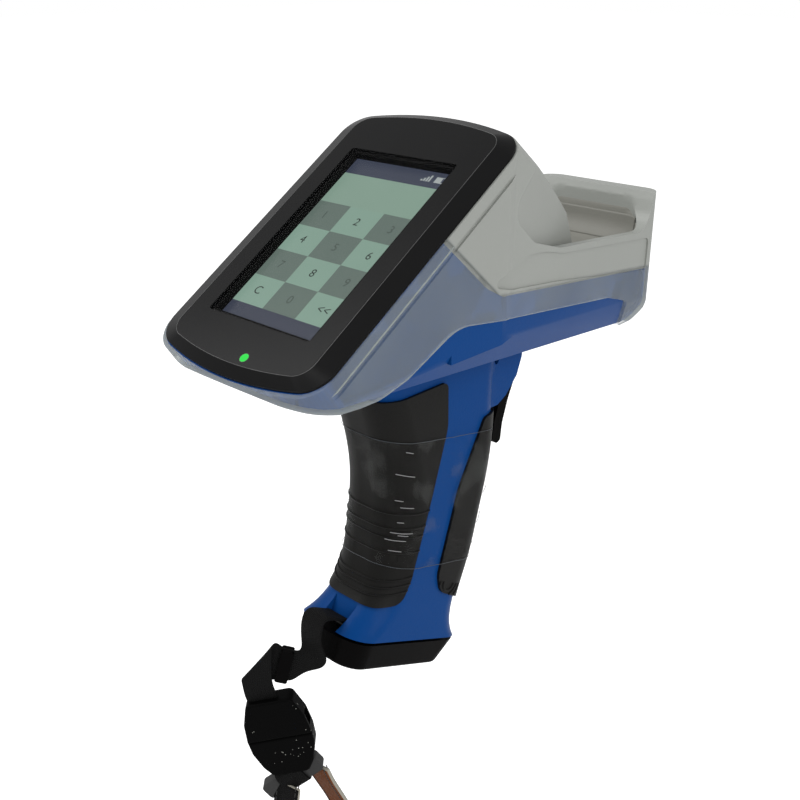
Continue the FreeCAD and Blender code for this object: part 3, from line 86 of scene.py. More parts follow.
def settle(piece):  # bakes live modifiers and the place into the mesh
    bpy.context.view_layer.update()
    graph = bpy.context.evaluated_depsgraph_get()
    data = bpy.data.meshes.new_from_object(piece.evaluated_get(graph), depsgraph=graph)
    data.transform(piece.matrix_world)
    name = piece.name
    bpy.data.objects.remove(piece)
    return link(bpy.data.objects.new(name, data))


def mergedMesh(nodeName):  # a copy of a CAD node's loose triangles, with its doubles joined
    mesh = bmesh.new()
    mesh.from_mesh(nodes[nodeName].data)
    bmesh.ops.remove_doubles(mesh, verts=mesh.verts, dist=2e-6)
    return mesh


# shader groups that several finishes share

def newGroup(name, inputs, outputs):
    group = bpy.data.node_groups.new(name, "ShaderNodeTree")
    for label, value in inputs:
        socket = group.interface.new_socket(label, in_out="INPUT", socket_type="NodeSocketFloat")
        socket.default_value = value
    for label in outputs:
        group.interface.new_socket(label, in_out="OUTPUT", socket_type="NodeSocketFloat")
    return group, group.nodes.new("NodeGroupInput"), group.nodes.new("NodeGroupOutput")


def addNode(tree, kind, **settings):
    node = tree.nodes.new(kind)
    for key, value in settings.items():
        setattr(node, key, value)
    return node


def mathNode(tree, operation, a, b=None, clamp=False):
    node = addNode(tree, "ShaderNodeMath", operation=operation, use_clamp=clamp)
    for socket, value in zip(node.inputs, (a, b)):
        if value is None:
            continue
        if isinstance(value, (int, float)):
            socket.default_value = value
        else:
            tree.links.new(value, socket)
    return node.outputs[0]


def mixColour(tree, factor, a, b):
    node = addNode(tree, "ShaderNodeMix", data_type="RGBA")
    for socket, value in zip((node.inputs[0], node.inputs[6], node.inputs[7]), (factor, a, b)):
        if isinstance(value, (int, float)):
            socket.default_value = value
        elif isinstance(value, tuple):
            socket.default_value = value + (1,)
        else:
            tree.links.new(value, socket)
    return node.outputs[2]


def buildGrain():  # fine moulded texture and slow clouds of tone
    group, given, result = newGroup("mouldedGrain", [("Scale", 900.0), ("Cloud", 14.0)], ["Height", "Cloud"])
    spot = addNode(group, "ShaderNodeTexCoord")
    for label, out, detail in (("Scale", "Height", 3), ("Cloud", "Cloud", 4)):
        noise = addNode(group, "ShaderNodeTexNoise")
        noise.inputs["Detail"].default_value = detail
        group.links.new(spot.outputs["Object"], noise.inputs["Vector"])
        group.links.new(given.outputs[label], noise.inputs["Scale"])
        group.links.new(noise.outputs["Fac"], result.inputs[out])
    return group


def buildWeave():  # ribbed webbing, read from the piece's own band map in metres along and 0 to 1 across
    group, given, result = newGroup("wovenBand", [("Along", 900.0), ("Across", 14.0)], ["Height", "Shade"])
    place = addNode(group, "ShaderNodeUVMap", uv_map="band")
    split = addNode(group, "ShaderNodeSeparateXYZ")
    group.links.new(place.outputs["UV"], split.inputs[0])
    u = mathNode(group, "MULTIPLY", split.outputs["X"], given.outputs["Along"])
    v = mathNode(group, "MULTIPLY", split.outputs["Y"], given.outputs["Across"])
    shift = mathNode(group, "MULTIPLY", mathNode(group, "FLOOR", v), 0.5)
    rib = mathNode(group, "SINE", mathNode(group, "MULTIPLY", mathNode(group, "ADD", u, shift), 6.2832))
    thread = mathNode(group, "SINE", mathNode(group, "MULTIPLY", mathNode(group, "FRACT", v), 3.1416))
    height = mathNode(group, "MULTIPLY", mathNode(group, "ADD", mathNode(group, "MULTIPLY", rib, 0.3), 0.7),
                      thread)
    group.links.new(height, result.inputs["Height"])
    group.links.new(mathNode(group, "ADD", mathNode(group, "MULTIPLY", height, 0.6), 0.4),
                    result.inputs["Shade"])
    return group


def buildDust():  # small pale specks, more of them where the clouds are dense
    group, given, result = newGroup("paleDust", [("Scale", 500.0), ("Amount", 0.2)], ["Mask"])
    spot = addNode(group, "ShaderNodeTexCoord")
    cells = addNode(group, "ShaderNodeTexVoronoi")
    clouds = addNode(group, "ShaderNodeTexNoise")
    clouds.inputs["Scale"].default_value = 90
    for node in (cells, clouds):
        group.links.new(spot.outputs["Object"], node.inputs["Vector"])
    group.links.new(given.outputs["Scale"], cells.inputs["Scale"])
    speck = mathNode(group, "LESS_THAN", cells.outputs["Distance"], given.outputs["Amount"])
    dense = mathNode(group, "GREATER_THAN", clouds.outputs["Fac"], 0.6)
    group.links.new(mathNode(group, "MULTIPLY", speck, dense), result.inputs["Mask"])
    return group


grainGroup = buildGrain()
weaveGroup = buildWeave()
dustGroup = buildDust()


def useGroup(tree, group, **values):
    node = addNode(tree, "ShaderNodeGroup", node_tree=group)
    for label, value in values.items():
        node.inputs[label].default_value = value
    return node


def newFinish(name):
    finish = bpy.data.materials.new(name)
    finish.use_nodes = True
    tree = finish.node_tree
    return finish, tree, tree.nodes["Principled BSDF"]


def bumpInto(tree, shader, height, strength, distance):
    bump = addNode(tree, "ShaderNodeBump")
    bump.inputs["Strength"].default_value = strength
    bump.inputs["Distance"].default_value = distance
    tree.links.new(height, bump.inputs["Height"])
    tree.links.new(bump.outputs["Normal"], shader.inputs["Normal"])


def moulded(name, colour, deeper, rough=0.45, grain=900.0, depth=0.25, specular=0.5, metal=0.0, dust=0.0):
    finish, tree, shader = newFinish(name)
    marks = useGroup(tree, grainGroup, Scale=grain)
    tint = mixColour(tree, marks.outputs["Cloud"], colour, deeper)
    if dust:
        specks = useGroup(tree, dustGroup, Amount=dust)
        tint = mixColour(tree, specks.outputs["Mask"], tint, (0.22, 0.22, 0.2))
    tree.links.new(tint, shader.inputs["Base Color"])
    uneven = mathNode(tree, "MULTIPLY", marks.outputs["Cloud"], 0.12)
    tree.links.new(mathNode(tree, "ADD", uneven, rough - 0.06), shader.inputs["Roughness"])
    shader.inputs["Specular IOR Level"].default_value = specular
    shader.inputs["Metallic"].default_value = metal
    bumpInto(tree, shader, marks.outputs["Height"], depth, 0.0003)
    return finish


greyShell = moulded("greyShell", (0.25, 0.248, 0.222), (0.23, 0.228, 0.204), 0.5, specular=0.25)
blueShell = moulded("blueShell", (0.004, 0.056, 0.225), (0.004, 0.048, 0.2), 0.3, specular=0.06)
blackGloss = moulded("blackGloss", (0.004, 0.004, 0.0045), (0.006, 0.006, 0.006), 0.24, depth=0.02, specular=0.1)
blackMatte = moulded("blackMatte", (0.0016, 0.0014, 0.0014), (0.0025, 0.0022, 0.0022), 0.4, specular=0.025)
# pale grey of the ridge round the bezel's face: a painted highlight
edgeGloss = moulded("edgeGloss", (0.07, 0.07, 0.07), (0.05, 0.05, 0.05), 0.25, depth=0.0)
gasketBlack = moulded("gasketBlack", (0.004, 0.004, 0.004), (0.006, 0.006, 0.006), 0.85, depth=0.0, specular=0.05)
dustyBlack = moulded("dustyBlack", (0.002, 0.002, 0.002), (0.0035, 0.0035, 0.0035), 0.45, specular=0.02, dust=0.14)
adjusterGrey = moulded("adjusterGrey", (0.03, 0.03, 0.03), (0.042, 0.042, 0.042), 0.5, specular=0.2)
gripRubber = moulded("gripRubber", (0.006, 0.0058, 0.0053), (0.009, 0.0088, 0.008), 0.45, 1400.0, 0.35, 0.13)
boardGreen = moulded("boardGreen", (0.01, 0.09, 0.04), (0.01, 0.12, 0.05), 0.4)
bareAluminium = moulded("bareAluminium", (0.62, 0.62, 0.63), (0.55, 0.55, 0.56), 0.35, 700.0, 0.15, metal=1.0)
darkAluminium = moulded("darkAluminium", (0.035, 0.035, 0.038), (0.05, 0.05, 0.052), 0.4, metal=0.6)
brightSteel = moulded("brightSteel", (0.55, 0.55, 0.55), (0.48, 0.48, 0.48), 0.28, 600.0, 0.1, metal=1.0)
darkSteel = moulded("darkSteel", (0.05, 0.05, 0.05), (0.07, 0.07, 0.07), 0.35, 600.0, 0.1, metal=1.0)
contactBrass = moulded("contactBrass", (0.6, 0.42, 0.16), (0.5, 0.34, 0.12), 0.3, metal=1.0)
fibreJacket = moulded("fibreJacket", (0.75, 0.32, 0.03), (0.65, 0.27, 0.03), 0.35)
bandEdge = moulded("bandEdge", (0.4, 0.38, 0.32), (0.3, 0.28, 0.23), 0.75, 1500.0, 0.5)
threadDark = moulded("threadDark", (0.012, 0.012, 0.012), (0.02, 0.02, 0.02), 0.6)


# side view of the seam between grey and blue shells, each line as its height at x = 0 and its fall
seamLines = ((0.1055, 0.1356), (0.1019, 0.876))


def aboveSeam(tree, low, high):  # 0 under the seam and 1 above it, from low to high metres over it
    spot = addNode(tree, "ShaderNodeSeparateXYZ")
    tree.links.new(addNode(tree, "ShaderNodeTexCoord").outputs["Object"], spot.inputs[0])
    over = [mathNode(tree, "ADD", mathNode(tree, "MULTIPLY", spot.outputs["X"], fall),
                     mathNode(tree, "SUBTRACT", spot.outputs["Z"], start)) for start, fall in seamLines]
    ramp = addNode(tree, "ShaderNodeMapRange", interpolation_type="SMOOTHSTEP")
    ramp.inputs["From Min"].default_value = low
    ramp.inputs["From Max"].default_value = high
    tree.links.new(mathNode(tree, "MINIMUM", *over), ramp.inputs["Value"])
    return ramp.outputs["Result"]


def veiled(name, colour, deeper, rough, veil, depth, grain, cloud, edge=0.0, backed=None, patchy=False):
    # see-through skin or film: only its outward side counts, and edge thickens it where it is seen aslant;
    # backed is its tone over the grey shell and where it stands alone, and there it hides what is behind
    finish, tree, shader = newFinish(name)
    marks = useGroup(tree, grainGroup, Scale=grain, Cloud=cloud)
    tint = mixColour(tree, marks.outputs["Cloud"], colour, deeper)
    if backed:
        lone = addNode(tree, "ShaderNodeAttribute", attribute_name="lone")
        grey = mathNode(tree, "MAXIMUM", aboveSeam(tree, 0.0, 0.003), lone.outputs["Fac"])
        tint = mixColour(tree, grey, tint, backed)
    tree.links.new(tint, shader.inputs["Base Color"])
    uneven = mathNode(tree, "MULTIPLY", marks.outputs["Cloud"], 0.1)
    tree.links.new(mathNode(tree, "ADD", uneven, rough - 0.05), shader.inputs["Roughness"])
    bumpInto(tree, shader, marks.outputs["Height"], depth, 0.0003)
    slant = addNode(tree, "ShaderNodeLayerWeight")
    rise = mathNode(tree, "MULTIPLY", mathNode(tree, "POWER", slant.outputs["Facing"], 2.0), edge)
    cloudy = mathNode(tree, "MULTIPLY", mathNode(tree, "ADD", marks.outputs["Cloud"], 0.5), veil)
    if patchy:
        ramp = addNode(tree, "ShaderNodeMapRange", interpolation_type="SMOOTHSTEP")
        ramp.inputs["From Min"].default_value = 0.5
        ramp.inputs["From Max"].default_value = 0.62
        tree.links.new(marks.outputs["Cloud"], ramp.inputs["Value"])
        cloudy = mathNode(tree, "MULTIPLY", ramp.outputs["Result"], veil)
    behind = addNode(tree, "ShaderNodeNewGeometry").outputs["Backfacing"]
    outward = mathNode(tree, "SUBTRACT", 1.0, behind)
    cover = mathNode(tree, "ADD", cloudy, rise)
    if backed:
        cover = mathNode(tree, "MAXIMUM", cover, mathNode(tree, "MULTIPLY", grey, 0.97))
    cover = mathNode(tree, "MULTIPLY", cover, outward, True)
    if backed:  # the camera sees no background through the skin where its line of sight misses the shell
        outer = addNode(tree, "ShaderNodeAttribute", attribute_name="outer")
        rays = addNode(tree, "ShaderNodeLightPath")
        far = mathNode(tree, "MULTIPLY", mathNode(tree, "MULTIPLY", behind, outer.outputs["Fac"]), 0.95)
        cover = mathNode(tree, "ADD", cover, mathNode(tree, "MULTIPLY", far, rays.outputs["Is Camera Ray"]))
    tree.links.new(cover, shader.inputs["Alpha"])
    return finish


milkySleeve = veiled("milkySleeve", (0.42, 0.46, 0.45), (0.38, 0.42, 0.41), 0.42, 0.3, 0.2, 500.0, 22.0, 0.15,
                     (0.33, 0.343, 0.32))
touchGlass = veiled("touchGlass", (0.02, 0.022, 0.024), (0.02, 0.02, 0.02), 0.1, 0.05, 0.0, 60.0, 30.0)
clearFilm = veiled("clearFilm", (0.2, 0.21, 0.2), (0.16, 0.17, 0.16), 0.15, 0.12, 0.15, 45.0, 45.0, patchy=True)
# grey of the lines at the film's top and bottom edges: painted highlights
filmEdge = moulded("filmEdge", (0.07, 0.08, 0.09), (0.05, 0.06, 0.07), 0.3)
# pale grey of the ridges on the film's folds: painted highlights
foldLight = moulded("foldLight", (0.4, 0.4, 0.4), (0.25, 0.25, 0.25), 0.3)


def litInk(name, colour, level=0.75):  # lens or picture that gives its own light
    finish, tree, shader = newFinish(name)
    marks = useGroup(tree, grainGroup, Scale=4000.0, Cloud=30.0)
    ink = mixColour(tree, marks.outputs["Cloud"], colour, tuple(0.9 * value for value in colour))
    tree.links.new(ink, shader.inputs["Emission Color"])
    shader.inputs["Emission Strength"].default_value = level
    shader.inputs["Base Color"].default_value = (0.01, 0.01, 0.01, 1)
    shader.inputs["Roughness"].default_value = 0.3
    shader.inputs["Specular IOR Level"].default_value = 0.1
    return finish


def webbing(name, colour, along=900.0, across=14.0, depth=0.8):
    finish, tree, shader = newFinish(name)
    weave = useGroup(tree, weaveGroup, Along=along, Across=across)
    shade = mixColour(tree, weave.outputs["Shade"], tuple(0.35 * value for value in colour), colour)
    tree.links.new(shade, shader.inputs["Base Color"])
    shader.inputs["Roughness"].default_value = 0.7
    shader.inputs["Specular IOR Level"].default_value = 0.1
    bumpInto(tree, shader, weave.outputs["Height"], depth, 0.0004)
    return finish


greenLens = litInk("greenLens", (0.01, 0.8, 0.06), 1.0)
blackWebbing = webbing("blackWebbing", (0.006, 0.006, 0.006))
brownLining = webbing("brownLining", (0.2, 0.06, 0.014), 160.0, 22.0, 0.5)

finishes = {
    "upper_housing": greyShell, "lower_housing_left": blueShell, "lower_housing_right": blueShell,
    "silicone_sleeve": milkySleeve, "screen_bezel": blackGloss, "touch_glass": touchGlass,
    "lcd_module": gasketBlack, "status_light": greenLens, "rear_grip": gripRubber, "front_grip": gripRubber,
    "battery_foot": blackMatte, "battery_pack": blackMatte, "battery_contacts": contactBrass,
    "trigger": blackMatte, "trigger_pin": brightSteel, "trigger_spring": brightSteel,
    "trigger_switch": blackMatte, "nose_plate": darkAluminium, "laser_window": touchGlass,
    "window_ring": darkAluminium, "contact_plunger": brightSteel, "plunger_spring": brightSteel,
    "plunger_switch": blackMatte, "laser_module": bareAluminium, "laser_driver_board": boardGreen,
    "lens_barrel": darkAluminium, "focusing_lens": touchGlass, "optics_bench": bareAluminium,
    "mirror_block": darkAluminium, "spectrometer_box": bareAluminium, "sensor_board": boardGreen,
    "collection_fibre": fibreJacket, "main_board": boardGreen, "board_standoffs": contactBrass,
    "heat_spreader": bareAluminium, "housing_screws": darkSteel, "handle_screws": darkSteel,
    "nose_screws": brightSteel, "strap_bar": darkSteel, "tether_strap": blackWebbing,
    "strap_keeper": blackMatte, "buckle_socket": dustyBlack, "buckle_plug": dustyBlack,
    "strap_adjuster": adjusterGrey, "wrist_loop": blackWebbing,
}
for nodeName, finish in finishes.items():
    nodes[nodeName].data.materials.clear()
    nodes[nodeName].data.materials.append(finish)
print("finishes placed")


def refine(mesh, longest):  # halves the long edges until none is longer
    for step in range(6):
        tooLong = [edge for edge in mesh.edges if edge.calc_length() > longest]
        bmesh.ops.subdivide_edges(mesh, edges=tooLong, cuts=1)
        bmesh.ops.triangulate(mesh, faces=mesh.faces)


def markLone(data):  # lone where the sleeve stands away from its shells, outer on its outer side
    skins = []
    for nodeName in ("upper_housing", "lower_housing_left", "lower_housing_right"):
        mesh = mergedMesh(nodeName)
        skins.append(BVHTree.FromBMesh(mesh))
        mesh.free()
    near, far, half = 0.0026, 0.0036, 0.001
    lone = data.attributes.new("lone", "FLOAT", "POINT")
    outer = data.attributes.new("outer", "FLOAT", "POINT")
    gaps = [min(skin.find_nearest(vert.co)[3] for skin in skins) for vert in data.vertices]
    for i, gap in enumerate(gaps):
        lone.data[i].value = min(1.0, max(0.0, (gap - near) / (far - near)))
        outer.data[i].value = float(gap > half)


def smoothCopy(nodeName, body, angle):  # the same form with soft shading across its facets
    mesh = mergedMesh(nodeName)
    if nodeName == "silicone_sleeve":
        refine(mesh, 0.004)
    limit = math.radians(angle)
    for edge in mesh.edges:
        edge.smooth = len(edge.link_faces) == 2 and edge.calc_face_angle(0) < limit
    for face in mesh.faces:
        face.smooth = True
    data = bpy.data.meshes.new(nodeName + "Shell")
    mesh.to_mesh(data)
    mesh.free()
    if nodeName == "silicone_sleeve":
        markLone(data)
    data.materials.append(finishes[nodeName])
    piece = link(bpy.data.objects.new(nodeName + "Shell", data))
    even = piece.modifiers.new("even", "WEIGHTED_NORMAL")
    even.keep_sharp = True
    piece = settle(piece)
    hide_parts(nodeName)
    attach(piece, body)
    return piece


smoothNodes = {
    "base": ("upper_housing", "lower_housing_left", "lower_housing_right", "silicone_sleeve", "screen_bezel",
             "rear_grip", "front_grip", "nose_plate", "strap_keeper", "buckle_socket", "buckle_plug",
             "strap_adjuster"),
    "battery": ("battery_foot",), "trigger": ("trigger",)}
creased = {"screen_bezel": 10.0}
for body, names in smoothNodes.items():
    for nodeName in names:
        smoothCopy(nodeName, body, creased.get(nodeName, 32.0))
print("shells smoothed")


# Geometry Nodes trees: ridges along guide lines, and small pieces set along or on points

def newTree(name, *inputs):
    tree = bpy.data.node_groups.new(name, "GeometryNodeTree")
    tree.interface.new_socket("Geometry", in_out="INPUT", socket_type="NodeSocketGeometry")
    for label, kind, value in inputs:
        socket = tree.interface.new_socket(label, in_out="INPUT", socket_type=kind)
        if value is not None:
            socket.default_value = value
    tree.interface.new_socket("Geometry", in_out="OUTPUT", socket_type="NodeSocketGeometry")
    return tree, tree.nodes.new("NodeGroupInput"), tree.nodes.new("NodeGroupOutput")


def finishTree(tree, given, result, socket):  # every tree ends in real geometry with its finish
    real = addNode(tree, "GeometryNodeRealizeInstances")
    smooth = addNode(tree, "GeometryNodeSetShadeSmooth")
    paint = addNode(tree, "GeometryNodeSetMaterial")
    tree.links.new(socket, real.inputs[0])
    tree.links.new(real.outputs[0], smooth.inputs[0])
    tree.links.new(smooth.outputs[0], paint.inputs["Geometry"])
    tree.links.new(given.outputs["Finish"], paint.inputs["Material"])
    tree.links.new(paint.outputs[0], result.inputs[0])
    return tree


def buildRidges():
    tree, given, result = newTree("gripRidges", ("Radius", "NodeSocketFloat", 0.0005),
                                  ("Step", "NodeSocketFloat", 0.0012), ("Finish", "NodeSocketMaterial", None))
    line = addNode(tree, "GeometryNodeMeshToCurve")
    even = addNode(tree, "GeometryNodeResampleCurve", mode="LENGTH")
    ring = addNode(tree, "GeometryNodeCurvePrimitiveCircle")
    ring.inputs["Resolution"].default_value = 8
    tube = addNode(tree, "GeometryNodeCurveToMesh")
    tube.inputs["Fill Caps"].default_value = True
    tree.links.new(given.outputs["Geometry"], line.inputs["Mesh"])
    tree.links.new(line.outputs[0], even.inputs["Curve"])
    tree.links.new(given.outputs["Step"], even.inputs["Length"])
    tree.links.new(given.outputs["Radius"], ring.inputs["Radius"])
    tree.links.new(even.outputs[0], tube.inputs["Curve"])
    tree.links.new(ring.outputs[0], tube.inputs["Profile Curve"])
    return finishTree(tree, given, result, tube.outputs[0])


def buildStitches():
    tree, given, result = newTree("stitchRow", ("Pitch", "NodeSocketFloat", 0.003),
                                  ("Long", "NodeSocketFloat", 0.002), ("Radius", "NodeSocketFloat", 0.00028),
                                  ("Finish", "NodeSocketMaterial", None))
    line = addNode(tree, "GeometryNodeMeshToCurve")
    even = addNode(tree, "GeometryNodeCurveToPoints", mode="LENGTH")
    stitch = addNode(tree, "GeometryNodeMeshCylinder")
    stitch.inputs["Vertices"].default_value = 6
    put = addNode(tree, "GeometryNodeInstanceOnPoints")
    tree.links.new(given.outputs["Geometry"], line.inputs["Mesh"])
    tree.links.new(line.outputs[0], even.inputs["Curve"])
    tree.links.new(given.outputs["Pitch"], even.inputs["Length"])
    tree.links.new(given.outputs["Radius"], stitch.inputs["Radius"])
    tree.links.new(given.outputs["Long"], stitch.inputs["Depth"])
    aim = addNode(tree, "FunctionNodeAlignRotationToVector", axis="Z")
    tree.links.new(even.outputs["Tangent"], aim.inputs["Vector"])
    tree.links.new(even.outputs["Points"], put.inputs["Points"])
    tree.links.new(stitch.outputs["Mesh"], put.inputs["Instance"])
    tree.links.new(aim.outputs["Rotation"], put.inputs["Rotation"])
    return finishTree(tree, given, result, put.outputs[0])


# thin black hexagons set on points: painted shade of screw sockets
def buildSocketShades():
    tree, given, result = newTree("screwSockets", ("Radius", "NodeSocketFloat", 0.0013),
                                  ("Turn", "NodeSocketVector", (0, 0, 0)),
                                  ("Finish", "NodeSocketMaterial", None))
    hexagon = addNode(tree, "GeometryNodeMeshCylinder")
    hexagon.inputs["Vertices"].default_value = 6
    hexagon.inputs["Depth"].default_value = 0.0002
    put = addNode(tree, "GeometryNodeInstanceOnPoints")
    tree.links.new(given.outputs["Radius"], hexagon.inputs["Radius"])
    tree.links.new(given.outputs["Geometry"], put.inputs["Points"])
    tree.links.new(hexagon.outputs["Mesh"], put.inputs["Instance"])
    tree.links.new(given.outputs["Turn"], put.inputs["Rotation"])
    return finishTree(tree, given, result, put.outputs[0])


ridgeTree = buildRidges()
stitchTree = buildStitches()
socketShadeTree = buildSocketShades()


def grow(name, lines, tree, **values):  # guide lines, or loose points, dressed by one of the trees
    points = [spot for line in lines for spot in line]
    edges = []
    start = 0
    for line in lines:
        edges += [(start + i, start + i + 1) for i in range(len(line) - 1)]
        start += len(line)
    data = bpy.data.meshes.new(name)
    data.from_pydata([tuple(p) for p in points], edges, [])
    piece = link(bpy.data.objects.new(name, data))
    maker = piece.modifiers.new("maker", "NODES")
    maker.node_group = tree
    for item in tree.interface.items_tree:
        if item.in_out == "INPUT" and item.name in values:
            maker[item.identifier] = values[item.name]
    return settle(piece)


# ridges moulded into the rubber grips
gripRidges = {"radius": 0.00055, "rearHeights": (0.0067, -0.0004, -0.0046, -0.0121), "tilt": 8.0,
              "rearEnd": (-0.0255, -0.0285, -0.0315), "frontEnd": (-0.001, -0.0405),
              "frontRadii": (0.004, 0.0065, 0.009), "frontArc": (150, 330)}


def sectionLines(nodeName, spot, normal):  # where a plane cuts a grip, as short guide lines
    mesh = mergedMesh(nodeName)
    cut = bmesh.ops.bisect_plane(mesh, geom=mesh.verts[:] + mesh.edges[:] + mesh.faces[:],
                                 plane_co=spot, plane_no=normal)["geom_cut"]
    chains = [[vert.co.copy() for vert in edge.verts] for edge in cut if isinstance(edge, bmesh.types.BMEdge)]
    mesh.free()
    return chains


def joinChains(chains):  # welds end-to-end edges so that a ridge is one line
    mesh = bmesh.new()
    for a, b in chains:
        mesh.edges.new((mesh.verts.new(a), mesh.verts.new(b)))
    bmesh.ops.remove_doubles(mesh, verts=mesh.verts, dist=5e-5)
    data = bpy.data.meshes.new("chains")
    mesh.to_mesh(data)
    mesh.free()
    return data


def ridgesFrom(name, chains, radius, finish):
    piece = link(bpy.data.objects.new(name, joinChains(chains)))
    maker = piece.modifiers.new("maker", "NODES")
    maker.node_group = ridgeTree
    for item in ridgeTree.interface.items_tree:
        if item.name == "Radius":
            maker[item.identifier] = radius
        if item.name == "Finish":
            maker[item.identifier] = finish
    piece = settle(piece)
    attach(piece, "base")
    return piece


lean = math.radians(gripRidges["tilt"])
rearChains = []
for height in gripRidges["rearHeights"]:
    rearChains += sectionLines("rear_grip", (-0.035, 0, height), (math.sin(lean), 0, math.cos(lean)))
for height in gripRidges["rearEnd"]:
    rearChains += sectionLines("rear_grip", (-0.045, 0, height), (0, 0, 1))
ridgesFrom("rearGripRidges", rearChains, gripRidges["radius"], gripRubber)

frontMesh = mergedMesh("front_grip")
frontSkin = BVHTree.FromBMesh(frontMesh)
frontChains = []
for hand in (-1, 1):
    for radius in gripRidges["frontRadii"]:
        last = None
        for step in range(25):
            low, high = gripRidges["frontArc"]
            angle = math.radians(low + (high - low) * step / 24)
            x = gripRidges["frontEnd"][0] + radius * math.cos(angle)
            z = gripRidges["frontEnd"][1] + radius * math.sin(angle)
            hit = frontSkin.ray_cast(Vector((x, hand * 0.05, z)), Vector((0, -hand, 0)))[0]
            if hit and last and (hit - last).length < 0.004:
                frontChains.append((last, hit))
            last = hit
frontMesh.free()
ridgesFrom("frontGripRidges", frontChains, gripRidges["radius"], gripRubber)
print("grip ridges made")

# black hexagons on the heads of the screws: painted shade in their sockets
screwSpots = {"x": 0.1427, "across": 0.020, "middle": 0.088, "up": 0.018, "wide": 0.0013,
              "belly": ((66, 14), (66, -14), (118, 14), (118, -14), (-76, 26), (-76, -26)),
              "bellyTop": 0.074, "bellyFall": 0.123}
noseSpots = [[(screwSpots["x"], y * screwSpots["across"], screwSpots["middle"] + z * screwSpots["up"])]
             for y in (1, -1) for z in (1, -1)]
noseSocketShades = grow("noseScrewSockets", noseSpots, socketShadeTree, Radius=screwSpots["wide"],
                   Turn=(0, math.radians(90), 0), Finish=gasketBlack)
bellySpots = [[(x * mm, y * mm, screwSpots["bellyTop"] - screwSpots["bellyFall"] * x * mm + 0.00055)]
              for x, y in screwSpots["belly"]]
bellySocketShades = grow("housingScrewSockets", bellySpots, socketShadeTree, Radius=screwSpots["wide"],
                    Turn=(0, 0, 0), Finish=gasketBlack)
for piece in (noseSocketShades, bellySocketShades):
    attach(piece, "base")

# clear film wrapped round the handle
film = {"proud": 0.0021, "rows": 44, "sides": 96, "thick": 0.00012, "crease": 0.00022,
        # middle x and z, tilt, half depth, half width and corner of each ring, in millimetres and degrees
        "rings": ((0.8, 35.0, 12.0, 37.5, 18.7, 14.6), (1.0, 8.0, 7.0, 34.0, 19.0, 15.0),
                  (-3.2, -12.0, 9.0, 32.2, 19.2, 15.0), (-7.6, -27.0, 17.0, 31.2, 19.4, 15.0))}


def blendRings(rings, t):  # smooth run through the rings, t from 0 to their last number
    i = min(int(t), len(rings) - 2)
    f = t - i
    around = [rings[max(0, min(len(rings) - 1, i + step))] for step in (-1, 0, 1, 2)]
    return [0.5 * (2 * b + (c - a) * f + (2 * a - 5 * b + 4 * c - d) * f ** 2 + (3 * b - a - 3 * c + d) * f ** 3)
            for a, b, c, d in zip(*around)]


def ringSpot(turn, half, wide, corner):  # point and outward way on a rounded rectangle, turn in radians
    flat = Vector((math.cos(turn), math.sin(turn)))
    core = Vector((half - corner, wide - corner))
    low, high = 0.0, 2 * half
    for step in range(30):
        reach = (low + high) / 2
        away = Vector((max(0, abs(flat.x) * reach - core.x), max(0, abs(flat.y) * reach - core.y)))
        low, high = (reach, high) if away.length < corner else (low, reach)
    return flat * low


def filmSpot(row, turn):
    x, z, angle, half, wide, corner = blendRings(film["rings"], 3 * row / film["rows"])
    place = Matrix.Translation((x * mm, 0, z * mm)) @ Matrix.Rotation(math.radians(angle), 4, "Y")
    fold = math.sin(7 * turn + 0.35 * row) * math.sin(0.21 * row + 3 * turn) + 0.5 * math.sin(19 * turn - row)
    spread = film["proud"] + film["crease"] * fold
    flat = ringSpot(turn, half * mm + spread, wide * mm + spread, corner * mm + spread)
    return place @ Vector((flat.x, flat.y, 0))


filmPoints = [filmSpot(row, 2 * math.pi * side / film["sides"])
              for row in range(film["rows"] + 1) for side in range(film["sides"])]
filmFaces = []
for row in range(film["rows"]):
    for side in range(film["sides"]):
        after = (side + 1) % film["sides"]
        base = row * film["sides"]
        filmFaces.append((base + side, base + side + film["sides"], base + after + film["sides"], base + after))
filmWrap = meshPiece("handleFilm", filmPoints, filmFaces, clearFilm, True)
wall = filmWrap.modifiers.new("wall", "SOLIDIFY")
wall.thickness = film["thick"]
filmWrap = settle(filmWrap)
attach(filmWrap, "base")
# pale ridges on folds of the film, painted highlights, as its row, first turn, last turn and rise
folds = ((3, 212, 217, 0.3), (8, 205, 218, 0.6), (14, 204, 210, 0.2), (16, 208, 218, 0.3), (21, 207, 212, 0.1),
         (25, 203, 220, 0.2), (26, 209, 217, 0.1), (28, 200, 216, 0.3), (33, 204, 214, 0.2), (39, 330, 344, -1.5),
         (30, 318, 326, -3.0), (18, 326, 334, 4.0))
foldLines = [[filmSpot(row + rise * step / 8, math.radians(first + (last - first) * step / 8)) for step in range(9)]
             for row, first, last, rise in folds]
filmFolds = grow("filmFolds", foldLines, ridgeTree, Radius=0.00016, Step=0.001, Finish=foldLight)
# pale lines round the film's top and bottom edges: painted highlights
rimLines = [[filmSpot(row, 2 * math.pi * side / film["sides"]) for side in range(film["sides"] + 1)]
            for row in (0, film["rows"])]
filmRims = grow("filmRims", rimLines, ridgeTree, Radius=0.00012, Step=0.002, Finish=filmEdge)
for piece in (filmFolds, filmRims):
    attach(piece, "base")
print("film wrapped")

# pale ridge round the edge of the bezel's face: a painted highlight
bezelEdge = {"level": 0.0045, "radius": 0.00014, "side": 0.036, "end": 0.06}
toDeck = deckMatrix.inverted()
edgeChains = []
for chain in sectionLines("screen_bezel", deckMatrix @ Vector((0, 0, bezelEdge["level"])), deckOut):
    local = [toDeck @ spot for spot in chain]
    if all(abs(spot.x) > bezelEdge["side"] or abs(spot.y) > bezelEdge["end"] for spot in local):
        edgeChains.append(chain)
ridgesFrom("bezelEdge", edgeChains, bezelEdge["radius"], edgeGloss)

